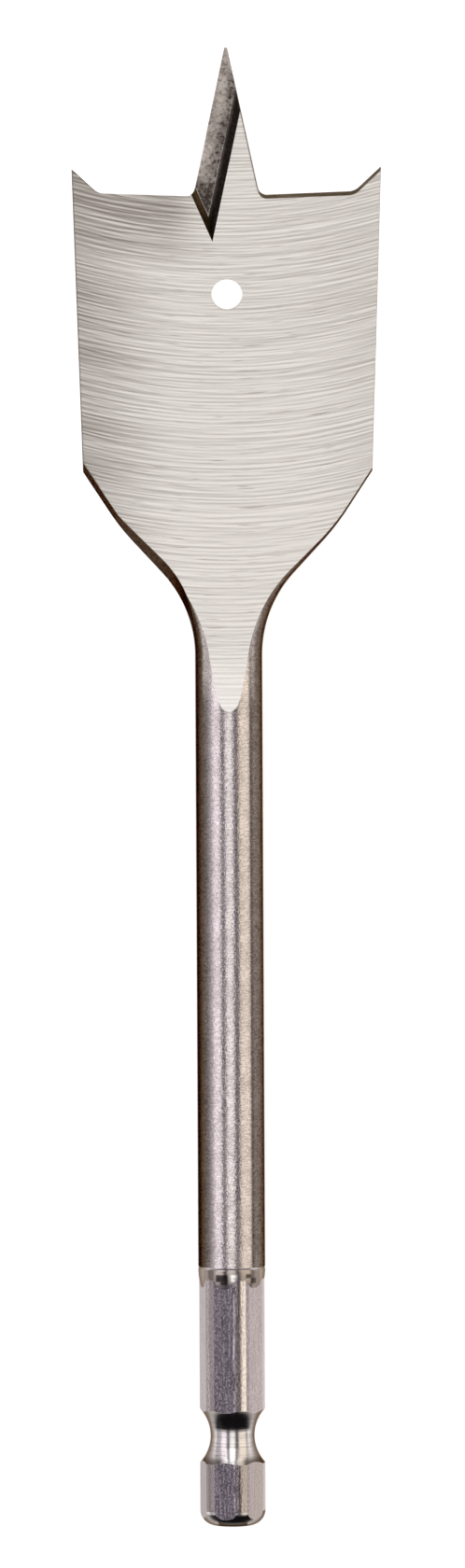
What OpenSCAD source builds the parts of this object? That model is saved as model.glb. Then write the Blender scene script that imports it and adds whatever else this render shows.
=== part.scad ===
// Spade drill bit for wood, forged and ground from one steel rod.
// It is drawn upright, tip up and front face towards -Y, then laid on its back.
// Half a turn about its axis carries the bit onto itself, so each cut is made once and repeated.

/* [Overall] */
// Length from the tip of the point to the end of the hex drive
overall_l = 152.4; // [145:0.1:165]
// Cutting width across the spurs
blade_w = 31.75; // [29:0.05:36]
// Thickness of the ground blade
blade_t = 2.5; // [2.2:0.1:3]
// Diameter of the round shank
shank_d = 6.9; // [6.8:0.05:7.4]

/* [Point and lips] */
// Height of the tip above the lips, taken where they would meet on the axis
point_l = 15.3; // [13:0.1:18]
// Full angle of the point, in degrees
point_angle = 24.4; // [21:0.1:27]
// Width left at the blunt tip
tip_w = 0.3; // [0.2:0.05:0.5]
// Radius at the root of the point
point_root_r = 0.9; // [0.5:0.1:1.3]
// Rise of each lip towards its spur, in degrees
lip_angle = 2.1; // [0.5:0.1:4]
// Relief behind the cutting edges, in degrees
edge_relief = 7; // [4:0.5:10]
// Height of the spur tips above the lips, taken on the axis
spur_h = 3; // [2.4:0.05:3.6]
// Slope of each spur's inner flank, in degrees
spur_angle = 42.7; // [38:0.1:48]
// Radius between lip and spur
spur_root_r = 1.6; // [1:0.1:2]

/* [Point pockets] */
// Depth of the pocket pressed beside each edge of the point
pocket_depth = 0.75; // [0.4:0.05:0.9]
// Width of the pocket's floor, square to the point's edge
pocket_w = 2; // [1.8:0.05:2.4]
// Distance of the pocket's lowest corner below the lips
pocket_drop = 2; // [1.8:0.1:3]
// Angle of the pocket's foot wall from the axis, in degrees
pocket_foot_angle = 24; // [18:0.1:28]
// Lean of the long wall from square, in degrees
pocket_wall_lean = 51; // [30:1:55]
// Lean of the foot wall from square, in degrees
pocket_foot_lean = 42; // [20:1:45]

/* [Blade and neck] */
// Back taper of each side, in degrees
side_taper = 1.87; // [1:0.01:2.5]
// Length of the straight sides below the spur tips
side_l = 31.2; // [28:0.1:35]
// Diameter of the hanging hole
hole_d = 3.18; // [2.5:0.01:5]
// Distance of the hole's centre below the spur tips
hole_drop = 13; // [9:0.1:18]
// Angle of the upper shoulder from the axis, in degrees
upper_shoulder_angle = 33.2; // [30:0.1:36]
// Height of the upper shoulder along the axis
upper_shoulder_l = 5.7; // [4:0.1:7]
// Angle of the lower shoulder from the axis, in degrees
lower_shoulder_angle = 42.7; // [40:0.1:46]
// Outline radius where the two shoulders blend
shoulder_blend_r = 25; // [18:0.5:30]
// Outline radius of the hollow between shoulder and shank
neck_r = 12.5; // [11:0.1:14]
// Slant of the bevel trimmed along the trailing shoulders, in degrees
shoulder_bevel = 43; // [30:1:50]
// Length of the flat ground face below the spur tips
flat_l = 35.6; // [33:0.1:38]
// Slope of the ground run-out from the blade to the shank, in degrees
runout_angle = 6.25; // [5:0.05:8]
// Radius where the flat face turns into the run-out
runout_r = 40; // [20:1:60]

/* [Hex drive] */
// Width across the flats of the hex
hex_af = 6.35; // [6.2:0.01:6.4]
// Diameter of the turned hex corners
hex_corner_d = 6.75; // [6.6:0.01:6.79]
// Length of the hex up to the full shank
hex_l = 26.6; // [20:0.1:32]
// Turn of the hex away from the blade's faces, in degrees
hex_turn = 13.5; // [0:0.5:30]
// Radius that leads from the hex flats to the shank
hex_shoulder_r = 6.5; // [4:0.1:9]
// Radius round the end of the hex
hex_end_r = 1.6; // [0.8:0.1:2]
// Distance of the catch groove's centre from the end
groove_z = 9.3; // [8.5:0.1:11]
// Diameter at the bottom of the catch groove
groove_d = 4.55; // [4:0.05:5]
// Radius of the catch groove's hollow
groove_r = 4.1; // [3:0.1:5]
// Width of the turned line that ends the shank
turned_line_w = 0.3; // [0.2:0.05:0.5]
// Depth of the turned line
turned_line_depth = 0.06; // [0.04:0.01:0.12]

/* [Hidden] */
$fn = 96;
steel_colour = [0.79, 0.77, 0.74];

// Room by which a cut passes the surface that it opens
cut_over = 2;
// Amount by which a fillet's circle passes the lines that it joins, so that they cross and don't only touch
arc_lap = 0.002;
// Step by which each bend of the forged edge covers the straight bar beside it
bend_cover = 0.02;
// Angle by which each bend reaches past its straight bar, in degrees
bend_overlap = 1.5;
// Distance at which the shoulder bevel stays off the widest line of the edge
bevel_off = 0.05;
// Depth by which the web between the edges stays under their crowns
web_under = 0.05;

shank_r = shank_d / 2;
half_t = blade_t / 2;
half_w = blade_w / 2;
lip_z = overall_l - point_l;
spur_z = lip_z + spur_h;
side_end_z = spur_z - side_l;
flat_end_z = spur_z - flat_l;
hole_z = spur_z - hole_drop;
point_half = point_angle / 2;

// Corners of the right-hand cutting outline, as [x, z]
tip_corner = [tip_w / 2, overall_l];
point_root_x = (tip_w / 2 + point_l * tan(point_half)) / (1 + tan(lip_angle) * tan(point_half));
point_root = [point_root_x, lip_z + point_root_x * tan(lip_angle)];
spur_root_x = (half_w * tan(spur_angle) - spur_h) / (tan(spur_angle) - tan(lip_angle));
spur_root = [spur_root_x, lip_z + spur_root_x * tan(lip_angle)];
spur_past = [half_w + cut_over, spur_z + cut_over * tan(spur_angle)];

// Right-hand outline of shoulder and neck, as [x, z]
side_corner = [half_w - side_l * tan(side_taper), side_end_z];
shoulder_turn = side_corner - upper_shoulder_l * [tan(upper_shoulder_angle), 1];
neck_centre_x = shank_r + neck_r;
neck_start_x = neck_centre_x - neck_r * cos(lower_shoulder_angle);
neck_start_z = shoulder_turn.y - (shoulder_turn.x - neck_start_x) / tan(lower_shoulder_angle);
neck_start = [neck_start_x, neck_start_z];
neck_centre = [neck_centre_x, neck_start_z - neck_r * sin(lower_shoulder_angle)];
shoulder_delta = lower_shoulder_angle - upper_shoulder_angle;
blend_l = shoulder_blend_r * tan(shoulder_delta / 2);
shoulder_past = side_corner + cut_over * along(upper_shoulder_angle);

// Lowest corner of the pocket's floor on the front face, as [x, z]
pocket_z = lip_z - pocket_drop;
pocket_x = pocket_w / cos(point_half) - tip_w / 2 - (overall_l - pocket_z) * tan(point_half);
pocket_reach = point_l + pocket_drop + cut_over;

// Depth to which the rounded end of the shank runs down inside the hex
shank_end_r = hex_af / 2 - turned_line_depth;
shank_end_l = sqrt(pow(hex_shoulder_r, 2) - pow(hex_shoulder_r - shank_r + shank_end_r, 2));

// Direction of an outline that leaves the axis by an angle, and the way from it into the steel
function along(angle) = [sin(angle), cos(angle)];
function inward(angle) = [-cos(angle), sin(angle)];
function unit(v) = v / norm(v);
function in_space(p) = [p.x, 0, p.y];

// Tangent point on the leg from corner c towards a, and centre of a fillet of radius r in corner a, c, b
function half_corner(a, c, b) = acos(unit(a - c) * unit(b - c)) / 2;
function fillet_tangent(a, c, b, r) = c + unit(a - c) * r / tan(half_corner(a, c, b));
function fillet_centre(a, c, b, r) = c + unit(unit(a - c) + unit(b - c)) * r / sin(half_corner(a, c, b));

// What rounding takes off the corner c between a and b
module corner_waste(a, c, b, r) {
    centre = fillet_centre(a, c, b, r);
    difference() {
        polygon([c, fillet_tangent(a, c, b, r), centre, fillet_tangent(b, c, a, r)]);
        translate(centre) circle(r + arc_lap);
    }
}

// The child cut, and the same cut half a turn round the axis
module both_sides() {
    children();
    rotate([0, 0, 180]) children();
}

// Hex with turned corners, rounded end and catch groove
module hex_drive() {
    corner_r = hex_corner_d / 2;
    end_corner = [corner_r, 0];
    intersection() {
        rotate([0, 0, -hex_turn]) cylinder(h = hex_l, d = hex_af / cos(30), $fn = 6);
        rotate_extrude() difference() {
            square([corner_r, hex_l]);
            corner_waste([0, 0], end_corner, [corner_r, hex_l], hex_end_r);
            translate([groove_d / 2 + groove_r, groove_z]) circle(groove_r);
        }
    }
}

// Round shank with its turned line, rounded down onto the hex flats
module round_shank() {
    top_z = neck_centre.y + neck_r * sin(bend_overlap);
    line_z = hex_l + turned_line_w / 2;
    rotate_extrude() difference() {
        union() {
            translate([0, hex_l]) square([shank_r, top_z - hex_l]);
            intersection() {
                translate([0, hex_l - shank_end_l]) square([shank_r, shank_end_l]);
                translate([shank_r - hex_shoulder_r, hex_l]) circle(hex_shoulder_r + arc_lap);
            }
        }
        polygon([
            [shank_r - turned_line_depth, line_z],
            [shank_r + turned_line_depth, line_z - turned_line_w],
            [shank_r + turned_line_depth, line_z + turned_line_w]
        ]);
    }
}

// Straight stretch of forged edge: a bar whose outer line starts at p and leaves the axis by an angle
module straight_edge(p, angle, l) {
    translate(in_space(p + shank_r * inward(angle))) rotate([0, angle, 0]) cylinder(h = l, r = shank_r);
}

// Bent stretch of forged edge about a centre, from one angle round the centre to another
module bent_edge(centre, path_r, from, to) {
    translate(in_space(centre)) rotate([90, 0, 0])
        rotate_extrude(start = from - bend_overlap, angle = to - from + 2 * bend_overlap)
            translate([path_r, 0]) circle(shank_r + bend_cover);
}

// Rounded right-hand edge of the forging, from the shank to past the side of the blade
module forged_edge() {
    lower_l = norm(shoulder_turn - neck_start) - blend_l;
    upper_start = shoulder_turn + blend_l * along(upper_shoulder_angle);
    upper_l = (half_w + shank_d - upper_start.x) / sin(upper_shoulder_angle);
    blend_in = unit(inward(lower_shoulder_angle) + inward(upper_shoulder_angle));
    blend_centre = shoulder_turn + blend_in * shoulder_blend_r / cos(shoulder_delta / 2);
    intersection() {
        union() {
            bent_edge(neck_centre, neck_r + shank_r, 180 - lower_shoulder_angle, 180);
            straight_edge(neck_start, lower_shoulder_angle, lower_l);
            bent_edge(blend_centre, shoulder_blend_r - shank_r, -lower_shoulder_angle, -upper_shoulder_angle);
            straight_edge(upper_start, upper_shoulder_angle, upper_l);
        }
        translate([0, -blade_w, 0]) cube([blade_w, 2 * blade_w, overall_l]);
    }
}

// Flattened web between the middle lines of the two forged edges, up to the height of the tip
module web() {
    reach = half_w + cut_over;
    turn = shoulder_turn + shank_r * inward(upper_shoulder_angle);
    right = [
        neck_start + shank_r * inward(lower_shoulder_angle),
        turn,
        [reach, turn.y + (reach - turn.x) / tan(upper_shoulder_angle)],
        [reach, overall_l]
    ];
    left = [for (i = [len(right) - 1 : -1 : 0]) [-right[i].x, right[i].y]];
    rotate([90, 0, 0]) linear_extrude(height = 2 * (shank_r - web_under), center = true)
        polygon(concat([[0, neck_centre.y]], right, left));
}

// Rod as forged: shank, spread neck and an oversize blade
module forging() {
    round_shank();
    forged_edge();
    mirror([1, 0, 0]) forged_edge();
    web();
}

// What grinding takes off the back: the flat face and its run-out onto the shank
module face_waste() {
    out = shank_r + cut_over;
    top = [half_t, overall_l + cut_over];
    turn = [half_t, flat_end_z];
    end = [out, flat_end_z - (out - half_t) / tan(runout_angle)];
    rotate([90, 0, 90]) linear_extrude(height = 2 * blade_w, center = true) difference() {
        polygon([top, turn, end, [2 * out, end.y], [2 * out, top.y]]);
        corner_waste(top, turn, end, runout_r);
    }
}

// What grinding takes off the right half's edges: beside the point, above the lip and inside the spur
module edge_waste() {
    top_z = overall_l + cut_over;
    translate([0, half_t, lip_z]) rotate([90 + edge_relief, 0, 0])
        linear_extrude(height = 4 * blade_t, center = true) translate([0, -lip_z]) difference() {
            polygon([tip_corner, point_root, spur_root, spur_past, [spur_past.x, top_z], [tip_corner.x, top_z]]);
            corner_waste(tip_corner, point_root, spur_root, point_root_r);
            corner_waste(point_root, spur_root, spur_past, spur_root_r);
        }
}

// Bevel trimmed off the front of the left shoulder, which fades out along the neck
module bevel_waste() {
    reach = half_w + cut_over;
    slant = [[1, 0, 0, 0], [0, 1, 0, 0], [0, -tan(shoulder_bevel), 1, 0], [0, 0, 0, 1]];
    multmatrix(slant) rotate([90, 0, 0]) linear_extrude(height = shank_r)
        mirror([1, 0]) translate([bevel_off, 0]) {
            polygon([neck_centre, neck_start, shoulder_turn, shoulder_past,
                [reach, shoulder_past.y], [reach, neck_centre.y]]);
            translate(neck_centre) circle(neck_r + arc_lap);
        }
}

// Waste beside one pocket wall: the wall runs up from the origin and the floor lies towards +X
module pocket_side(lean) {
    spread = (pocket_depth + cut_over) * tan(lean);
    linear_extrude(height = 2 * pocket_reach, center = true) polygon([
        [0, pocket_depth],
        [-spread, -cut_over],
        [pocket_reach, -cut_over],
        [pocket_reach, pocket_depth]
    ]);
}

// Pocket pressed into the front of the point, open along the point's left edge
module pocket_waste() {
    translate([pocket_x, -half_t, pocket_z]) intersection() {
        rotate([0, point_half, 0]) mirror([1, 0, 0]) pocket_side(pocket_wall_lean);
        rotate([0, -pocket_foot_angle, 0]) pocket_side(pocket_foot_lean);
    }
}

// Turned sides of the blade, with their back taper
module side_envelope() {
    rise = overall_l - spur_z;
    bottom_r = half_w - spur_z * tan(side_taper);
    cylinder(h = overall_l, r1 = bottom_r, r2 = half_w + rise * tan(side_taper), $fn = 2 * $fn);
}

// Hanging hole through the blade
module hole_waste() {
    translate([0, 0, hole_z]) rotate([90, 0, 0]) cylinder(h = 2 * shank_d, d = hole_d, center = true);
}

// The finished bit, upright with the end of the hex at the origin
module upright_bit() {
    hex_drive();
    difference() {
        intersection() {
            forging();
            side_envelope();
        }
        both_sides() {
            face_waste();
            edge_waste();
            bevel_waste();
            pocket_waste();
        }
        hole_waste();
    }
}

// The bit as it lies: on its round shank, front face up and tip towards +Y
module spade_bit() {
    color(steel_colour) translate([0, -overall_l / 2, shank_r]) rotate([-90, 0, 0]) upright_bit();
}

spade_bit();
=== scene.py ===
"""Spade drill bit: ground blade, forged neck, round shank and hex drive, on a pale studio floor.

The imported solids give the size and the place. The visible bit is one closed skin, worked out as
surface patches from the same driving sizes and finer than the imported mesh, so that every face can
carry the finish that its making left on it.

Inside the classes a point is written (x, s, h) in millimetres: x across the blade, s along the axis
from the hex end to the tip, h out of the front face from the middle plane of the blade.
"""

from __future__ import annotations

import logging
import math
from collections.abc import Callable
from dataclasses import dataclass
from enum import Enum
from typing import NamedTuple

import bmesh
import bpy
import numpy as np
from mathutils import Matrix, Vector

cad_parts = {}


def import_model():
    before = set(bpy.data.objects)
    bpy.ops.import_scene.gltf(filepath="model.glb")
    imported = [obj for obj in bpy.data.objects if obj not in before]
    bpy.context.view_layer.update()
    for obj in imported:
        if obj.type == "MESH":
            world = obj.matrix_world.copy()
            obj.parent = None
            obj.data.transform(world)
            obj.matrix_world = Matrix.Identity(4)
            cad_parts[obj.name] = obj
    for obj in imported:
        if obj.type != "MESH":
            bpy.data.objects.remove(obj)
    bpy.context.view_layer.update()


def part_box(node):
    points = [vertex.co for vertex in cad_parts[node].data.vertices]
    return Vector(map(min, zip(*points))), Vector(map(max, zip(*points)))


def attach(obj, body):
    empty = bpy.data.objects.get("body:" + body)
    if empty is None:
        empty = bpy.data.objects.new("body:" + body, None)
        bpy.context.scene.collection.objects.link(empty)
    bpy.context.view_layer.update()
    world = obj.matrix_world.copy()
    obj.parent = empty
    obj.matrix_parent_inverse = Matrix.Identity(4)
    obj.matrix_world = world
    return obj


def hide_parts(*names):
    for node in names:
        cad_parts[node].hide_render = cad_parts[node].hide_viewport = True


LOG = logging.getLogger("spade_bit")
MM = 0.001
HALVINGS = 60
SPUR_PASSES = 8
HALF_TURN = np.array([-1.0, 1.0, -1.0])
TO_BACK = np.array([1.0, 1.0, -1.0])
Array = np.ndarray


class Finish(Enum):
    """Finishes of the bit's surface as its making left them, several with painted light and shade.
    """

    GROUND = "ground_face"
    SHANK = "blasted_shank"
    FLAT = "drawn_hex_flat"
    # Hex corner whose colour carries a painted highlight strip
    CORNER = "hex_corner_painted_highlight"
    TURNED = "turned_steel"
    LIP = "ground_lip"
    SIDE = "turned_blade_side"
    FLOOR = "pocket_floor"
    WALL = "pocket_long_wall"
    FOOT = "pocket_foot_wall"


def unit(v: Array) -> Array:
    """The vector v scaled to length 1."""
    return v / np.linalg.norm(v)


def root_of(
    f: Callable[[Array], Array], low: float, high: float, shape: tuple[int, ...]
) -> Array:
    """Finds where each of several rising functions crosses zero, by halving the interval.

    Args:
        f: Function of an array that rises through zero in every element.
        low: Value below the crossings.
        high: Value above the crossings.
        shape: Shape of the array.

    Returns:
        The crossings.
    """
    low, high = np.full(shape, low), np.full(shape, high)
    for _ in range(HALVINGS):
        mid = (low + high) / 2
        below = f(mid) < 0
        low, high = np.where(below, mid, low), np.where(below, high, mid)
    return (low + high) / 2


@dataclass(frozen=True)
class BitSizes:
    """Driving sizes of the bit in millimetres and degrees.

    They are the same ones that its solids have, apart from the grinding wheel's last bite.
    """

    length: float
    shank_radius: float
    blade_width: float = 31.75
    blade_thickness: float = 2.5
    point_length: float = 15.3
    point_angle: float = 24.4
    tip_width: float = 0.3
    point_root_radius: float = 0.9
    lip_angle: float = 2.1
    edge_relief: float = 7.0
    spur_height: float = 3.0
    spur_angle: float = 42.7
    spur_root_radius: float = 1.6
    pocket_depth: float = 0.75
    pocket_width: float = 2.0
    pocket_drop: float = 2.0
    pocket_foot_angle: float = 24.0
    pocket_wall_lean: float = 51.0
    pocket_foot_lean: float = 42.0
    side_taper: float = 1.87
    side_length: float = 31.2
    hole_diameter: float = 3.18
    hole_drop: float = 13.0
    upper_shoulder_angle: float = 33.2
    upper_shoulder_length: float = 5.7
    lower_shoulder_angle: float = 42.7
    shoulder_blend_radius: float = 25.0
    neck_radius: float = 12.5
    shoulder_bevel: float = 43.0
    bevel_off: float = 0.05
    flat_length: float = 35.6
    runout_angle: float = 6.25
    runout_radius: float = 40.0
    hex_across_flats: float = 6.35
    hex_corner_diameter: float = 6.75
    hex_length: float = 26.6
    hex_turn: float = 13.5
    hex_shoulder_radius: float = 6.5
    hex_end_radius: float = 1.6
    groove_station: float = 9.3
    groove_diameter: float = 4.55
    groove_radius: float = 4.1
    turned_line_width: float = 0.3
    turned_line_depth: float = 0.06
    wheel_bite: float = 0.06
    wheel_rise: float = 0.35
    wheel_fade: float = 7.0

    @classmethod
    def from_box(cls, low: Vector, high: Vector) -> BitSizes:
        """Takes the length and the shank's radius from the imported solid's box.

        Args:
            low: Lowest corner of the solid, in metres.
            high: Highest corner of the solid, in metres.

        Returns:
            The sizes of this bit.
        """
        return cls(length=(high[1] - low[1]) / MM, shank_radius=(high[2] - low[2]) / MM / 2)

    @property
    def half_thickness(self) -> float:
        """Half the thickness of the blade."""
        return self.blade_thickness / 2

    @property
    def half_width(self) -> float:
        """Half the width of the blade across its spurs."""
        return self.blade_width / 2

    @property
    def lip_station(self) -> float:
        """Station at which the lips would meet the axis."""
        return self.length - self.point_length

    @property
    def spur_station(self) -> float:
        """Station of the spur tips."""
        return self.lip_station + self.spur_height

    @property
    def flat_end_station(self) -> float:
        """Station at which the flat face turns up into its run-out."""
        return self.spur_station - self.flat_length

    @property
    def runout_station(self) -> float:
        """Station at which the ground run-out leaves the round of the shank."""
        rise = self.shank_radius - self.half_thickness
        return self.flat_end_station - rise / math.tan(math.radians(self.runout_angle))

    @property
    def hole_station(self) -> float:
        """Station of the hanging hole's centre."""
        return self.spur_station - self.hole_drop


@dataclass(frozen=True)
class Patch:
    """One stretch of the skin: a grid of points, its finish, and the cells that are left open."""

    finish: Finish
    points: Array
    open_cells: Array | None = None

    def half_turned(self) -> Patch:
        """The same stretch half a turn round the axis."""
        return Patch(self.finish, self.points * HALF_TURN, self.open_cells)

    def quads(self, start: int) -> Array:
        """Corner numbers of the grid's cells.

        Args:
            start: Number of the patch's first point in the whole skin.

        Returns:
            One row of four numbers for each cell that isn't left open.
        """
        rows, columns = self.points.shape[:2]
        n = start + np.arange(rows * columns).reshape(rows, columns)
        cells = np.stack([n[:-1, :-1], n[:-1, 1:], n[1:, 1:], n[1:, :-1]], axis=-1)
        return cells.reshape(-1, 4) if self.open_cells is None else cells[~self.open_cells]


def ruled(first: Array, last: Array, steps: int | Array) -> Array:
    """Surface of straight lines from each point of one curve to its partner on another.

    Args:
        first: Points of the first curve.
        last: Points of the second curve, as many.
        steps: Number of steps across, or the shares of the way themselves.

    Returns:
        A grid with one row for each share.
    """
    share = np.linspace(0, 1, steps + 1) if isinstance(steps, int) else steps
    return first[None] + share[:, None, None] * (last - first)[None]


def points_of(x: Array, s: Array, h: Array) -> Array:
    """Grid of points from three arrays of coordinates that stretch to one shape."""
    return np.stack(np.broadcast_arrays(np.asarray(x, float), s, h), axis=-1)


class EdgeForm:
    """Outline of the forged edge in plan, the ground faces, and the turned sides of the blade.

    The grinding wheel ends its run-out bluntly: over the ramp's first stretch it bites a little
    deeper than the ramp, which gives the ground face a round end.
    """

    def __init__(self, sizes: BitSizes) -> None:
        """Works out the corners and centres of the outline.

        Args:
            sizes: Sizes of the bit.
        """
        z = self.sizes = sizes
        self.upper = math.radians(z.upper_shoulder_angle)
        self.lower = math.radians(z.lower_shoulder_angle)
        corner_s = z.spur_station - z.side_length
        corner_x = z.half_width - z.side_length * math.tan(math.radians(z.side_taper))
        down = z.upper_shoulder_length * np.array([math.tan(self.upper), 1.0])
        self.turn = np.array([corner_x, corner_s]) - down
        centre_x = z.shank_radius + z.neck_radius
        start_x = centre_x - z.neck_radius * math.cos(self.lower)
        start_s = self.turn[1] - (self.turn[0] - start_x) / math.tan(self.lower)
        self.neck_start = np.array([start_x, start_s])
        self.neck_centre = np.array([centre_x, start_s - z.neck_radius * math.sin(self.lower)])
        inward = [np.array([-math.cos(a), math.sin(a)]) for a in (self.lower, self.upper)]
        reach = z.shoulder_blend_radius / math.cos((self.lower - self.upper) / 2)
        self.blend_centre = self.turn + unit(inward[0] + inward[1]) * reach

    def inset(self, h: Array) -> Array:
        """How far the round of the forged edge has drawn in at height h, square to the outline."""
        r = self.sizes.shank_radius
        return r - np.sqrt(np.maximum(r * r - h * h, 0))

    def neck_reach(self, s: Array, inset: Array) -> Array:
        """Distance from the axis to the forged outline, moved inwards by an inset.

        The outline is the shank's straight line, the neck's hollow arc, the lower shoulder, the
        crowned blend and the upper shoulder. Moving it inwards makes the hollow arc larger and
        the crowned one smaller and leaves both centres where they are.

        Args:
            s: Stations.
            inset: Distance by which the outline moves inwards, square to itself.

        Returns:
            The reach x at each station.
        """
        z = self.sizes
        hollow, crown = z.neck_radius + inset, z.shoulder_blend_radius - inset
        neck_x, neck_s = self.neck_centre
        blend_x, blend_s = self.blend_centre
        lower_s = neck_s + hollow * math.sin(self.lower)
        crown_from = blend_s - crown * math.sin(self.lower)
        crown_to = blend_s - crown * math.sin(self.upper)
        hollow_x = neck_x - np.sqrt(np.maximum(hollow**2 - (s - neck_s) ** 2, 0))
        lower_x = neck_x - hollow * math.cos(self.lower) + (s - lower_s) * math.tan(self.lower)
        crown_x = blend_x + np.sqrt(np.maximum(crown**2 - (s - blend_s) ** 2, 0))
        upper_x = blend_x + crown * math.cos(self.upper) + (s - crown_to) * math.tan(self.upper)
        shank_x = np.broadcast_to(z.shank_radius - inset, hollow_x.shape)
        zones = [s < neck_s, s < lower_s, s < crown_from, s < crown_to]
        return np.select(zones, [shank_x, hollow_x, lower_x, crown_x], upper_x)

    def bevel_reach(self, s: Array, h: Array) -> Array:
        """Reach of the trimmed bevel: the outline slid up the axis by the height times a slope.

        Args:
            s: Stations.
            h: Heights.

        Returns:
            The reach x at each station and height.
        """
        z = self.sizes
        at = s - h * math.tan(math.radians(z.shoulder_bevel))
        neck_x, neck_s = self.neck_centre
        hollow = neck_x - np.sqrt(np.maximum(z.neck_radius**2 - (at - neck_s) ** 2, 0))
        lower = self.turn[0] + (at - self.turn[1]) * math.tan(self.lower)
        upper = self.turn[0] + (at - self.turn[1]) * math.tan(self.upper)
        legs = np.where(at < self.neck_start[1], hollow, np.minimum(lower, upper))
        return np.where(at < neck_s, z.shank_radius, legs) + z.bevel_off

    def side_reach(self, s: Array, h: Array) -> Array:
        """Reach of the turned sides: a cone about the axis that narrows away from the spurs.

        Args:
            s: Stations.
            h: Heights.

        Returns:
            The reach x at each station and height.
        """
        z = self.sizes
        radius = z.half_width - (z.spur_station - s) * math.tan(math.radians(z.side_taper))
        return np.sqrt(radius**2 - h**2)

    def forged_reach(self, s: Array, h: Array, trimmed: bool) -> Array:
        """Reach of the forged edge at a height, on the side with the trimmed bevel or without."""
        reach = self.neck_reach(s, self.inset(h))
        return np.minimum(reach, self.bevel_reach(s, h)) if trimmed else reach

    def face_height(self, s: Array) -> Array:
        """Height of the ground face: flat, an arc, a ramp up to the round, and its blunt end.

        The bite at the blunt end grows towards its depth by an exponential and then fades smoothly.

        Args:
            s: Stations.

        Returns:
            The height at each station.
        """
        z = self.sizes
        slope = math.radians(z.runout_angle)
        arc_end = z.flat_end_station + z.runout_radius * math.tan(slope / 2)
        arc_start = arc_end - z.runout_radius * math.sin(slope)
        ramp = z.half_thickness + (z.flat_end_station - s) * math.tan(slope)
        arc = z.half_thickness + z.runout_radius
        arc = arc - np.sqrt(np.maximum(z.runout_radius**2 - (s - arc_end) ** 2, 0))
        height = np.where(s < arc_start, ramp, np.where(s < arc_end, arc, z.half_thickness))
        past = np.maximum(s - z.runout_station, 0)
        share = np.clip(1 - past / z.wheel_fade, 0, 1)
        bite = z.wheel_bite * (1 - np.exp(-past / z.wheel_rise)) * share**2 * (3 - 2 * share)
        return np.minimum(height - bite, z.shank_radius)


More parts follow.
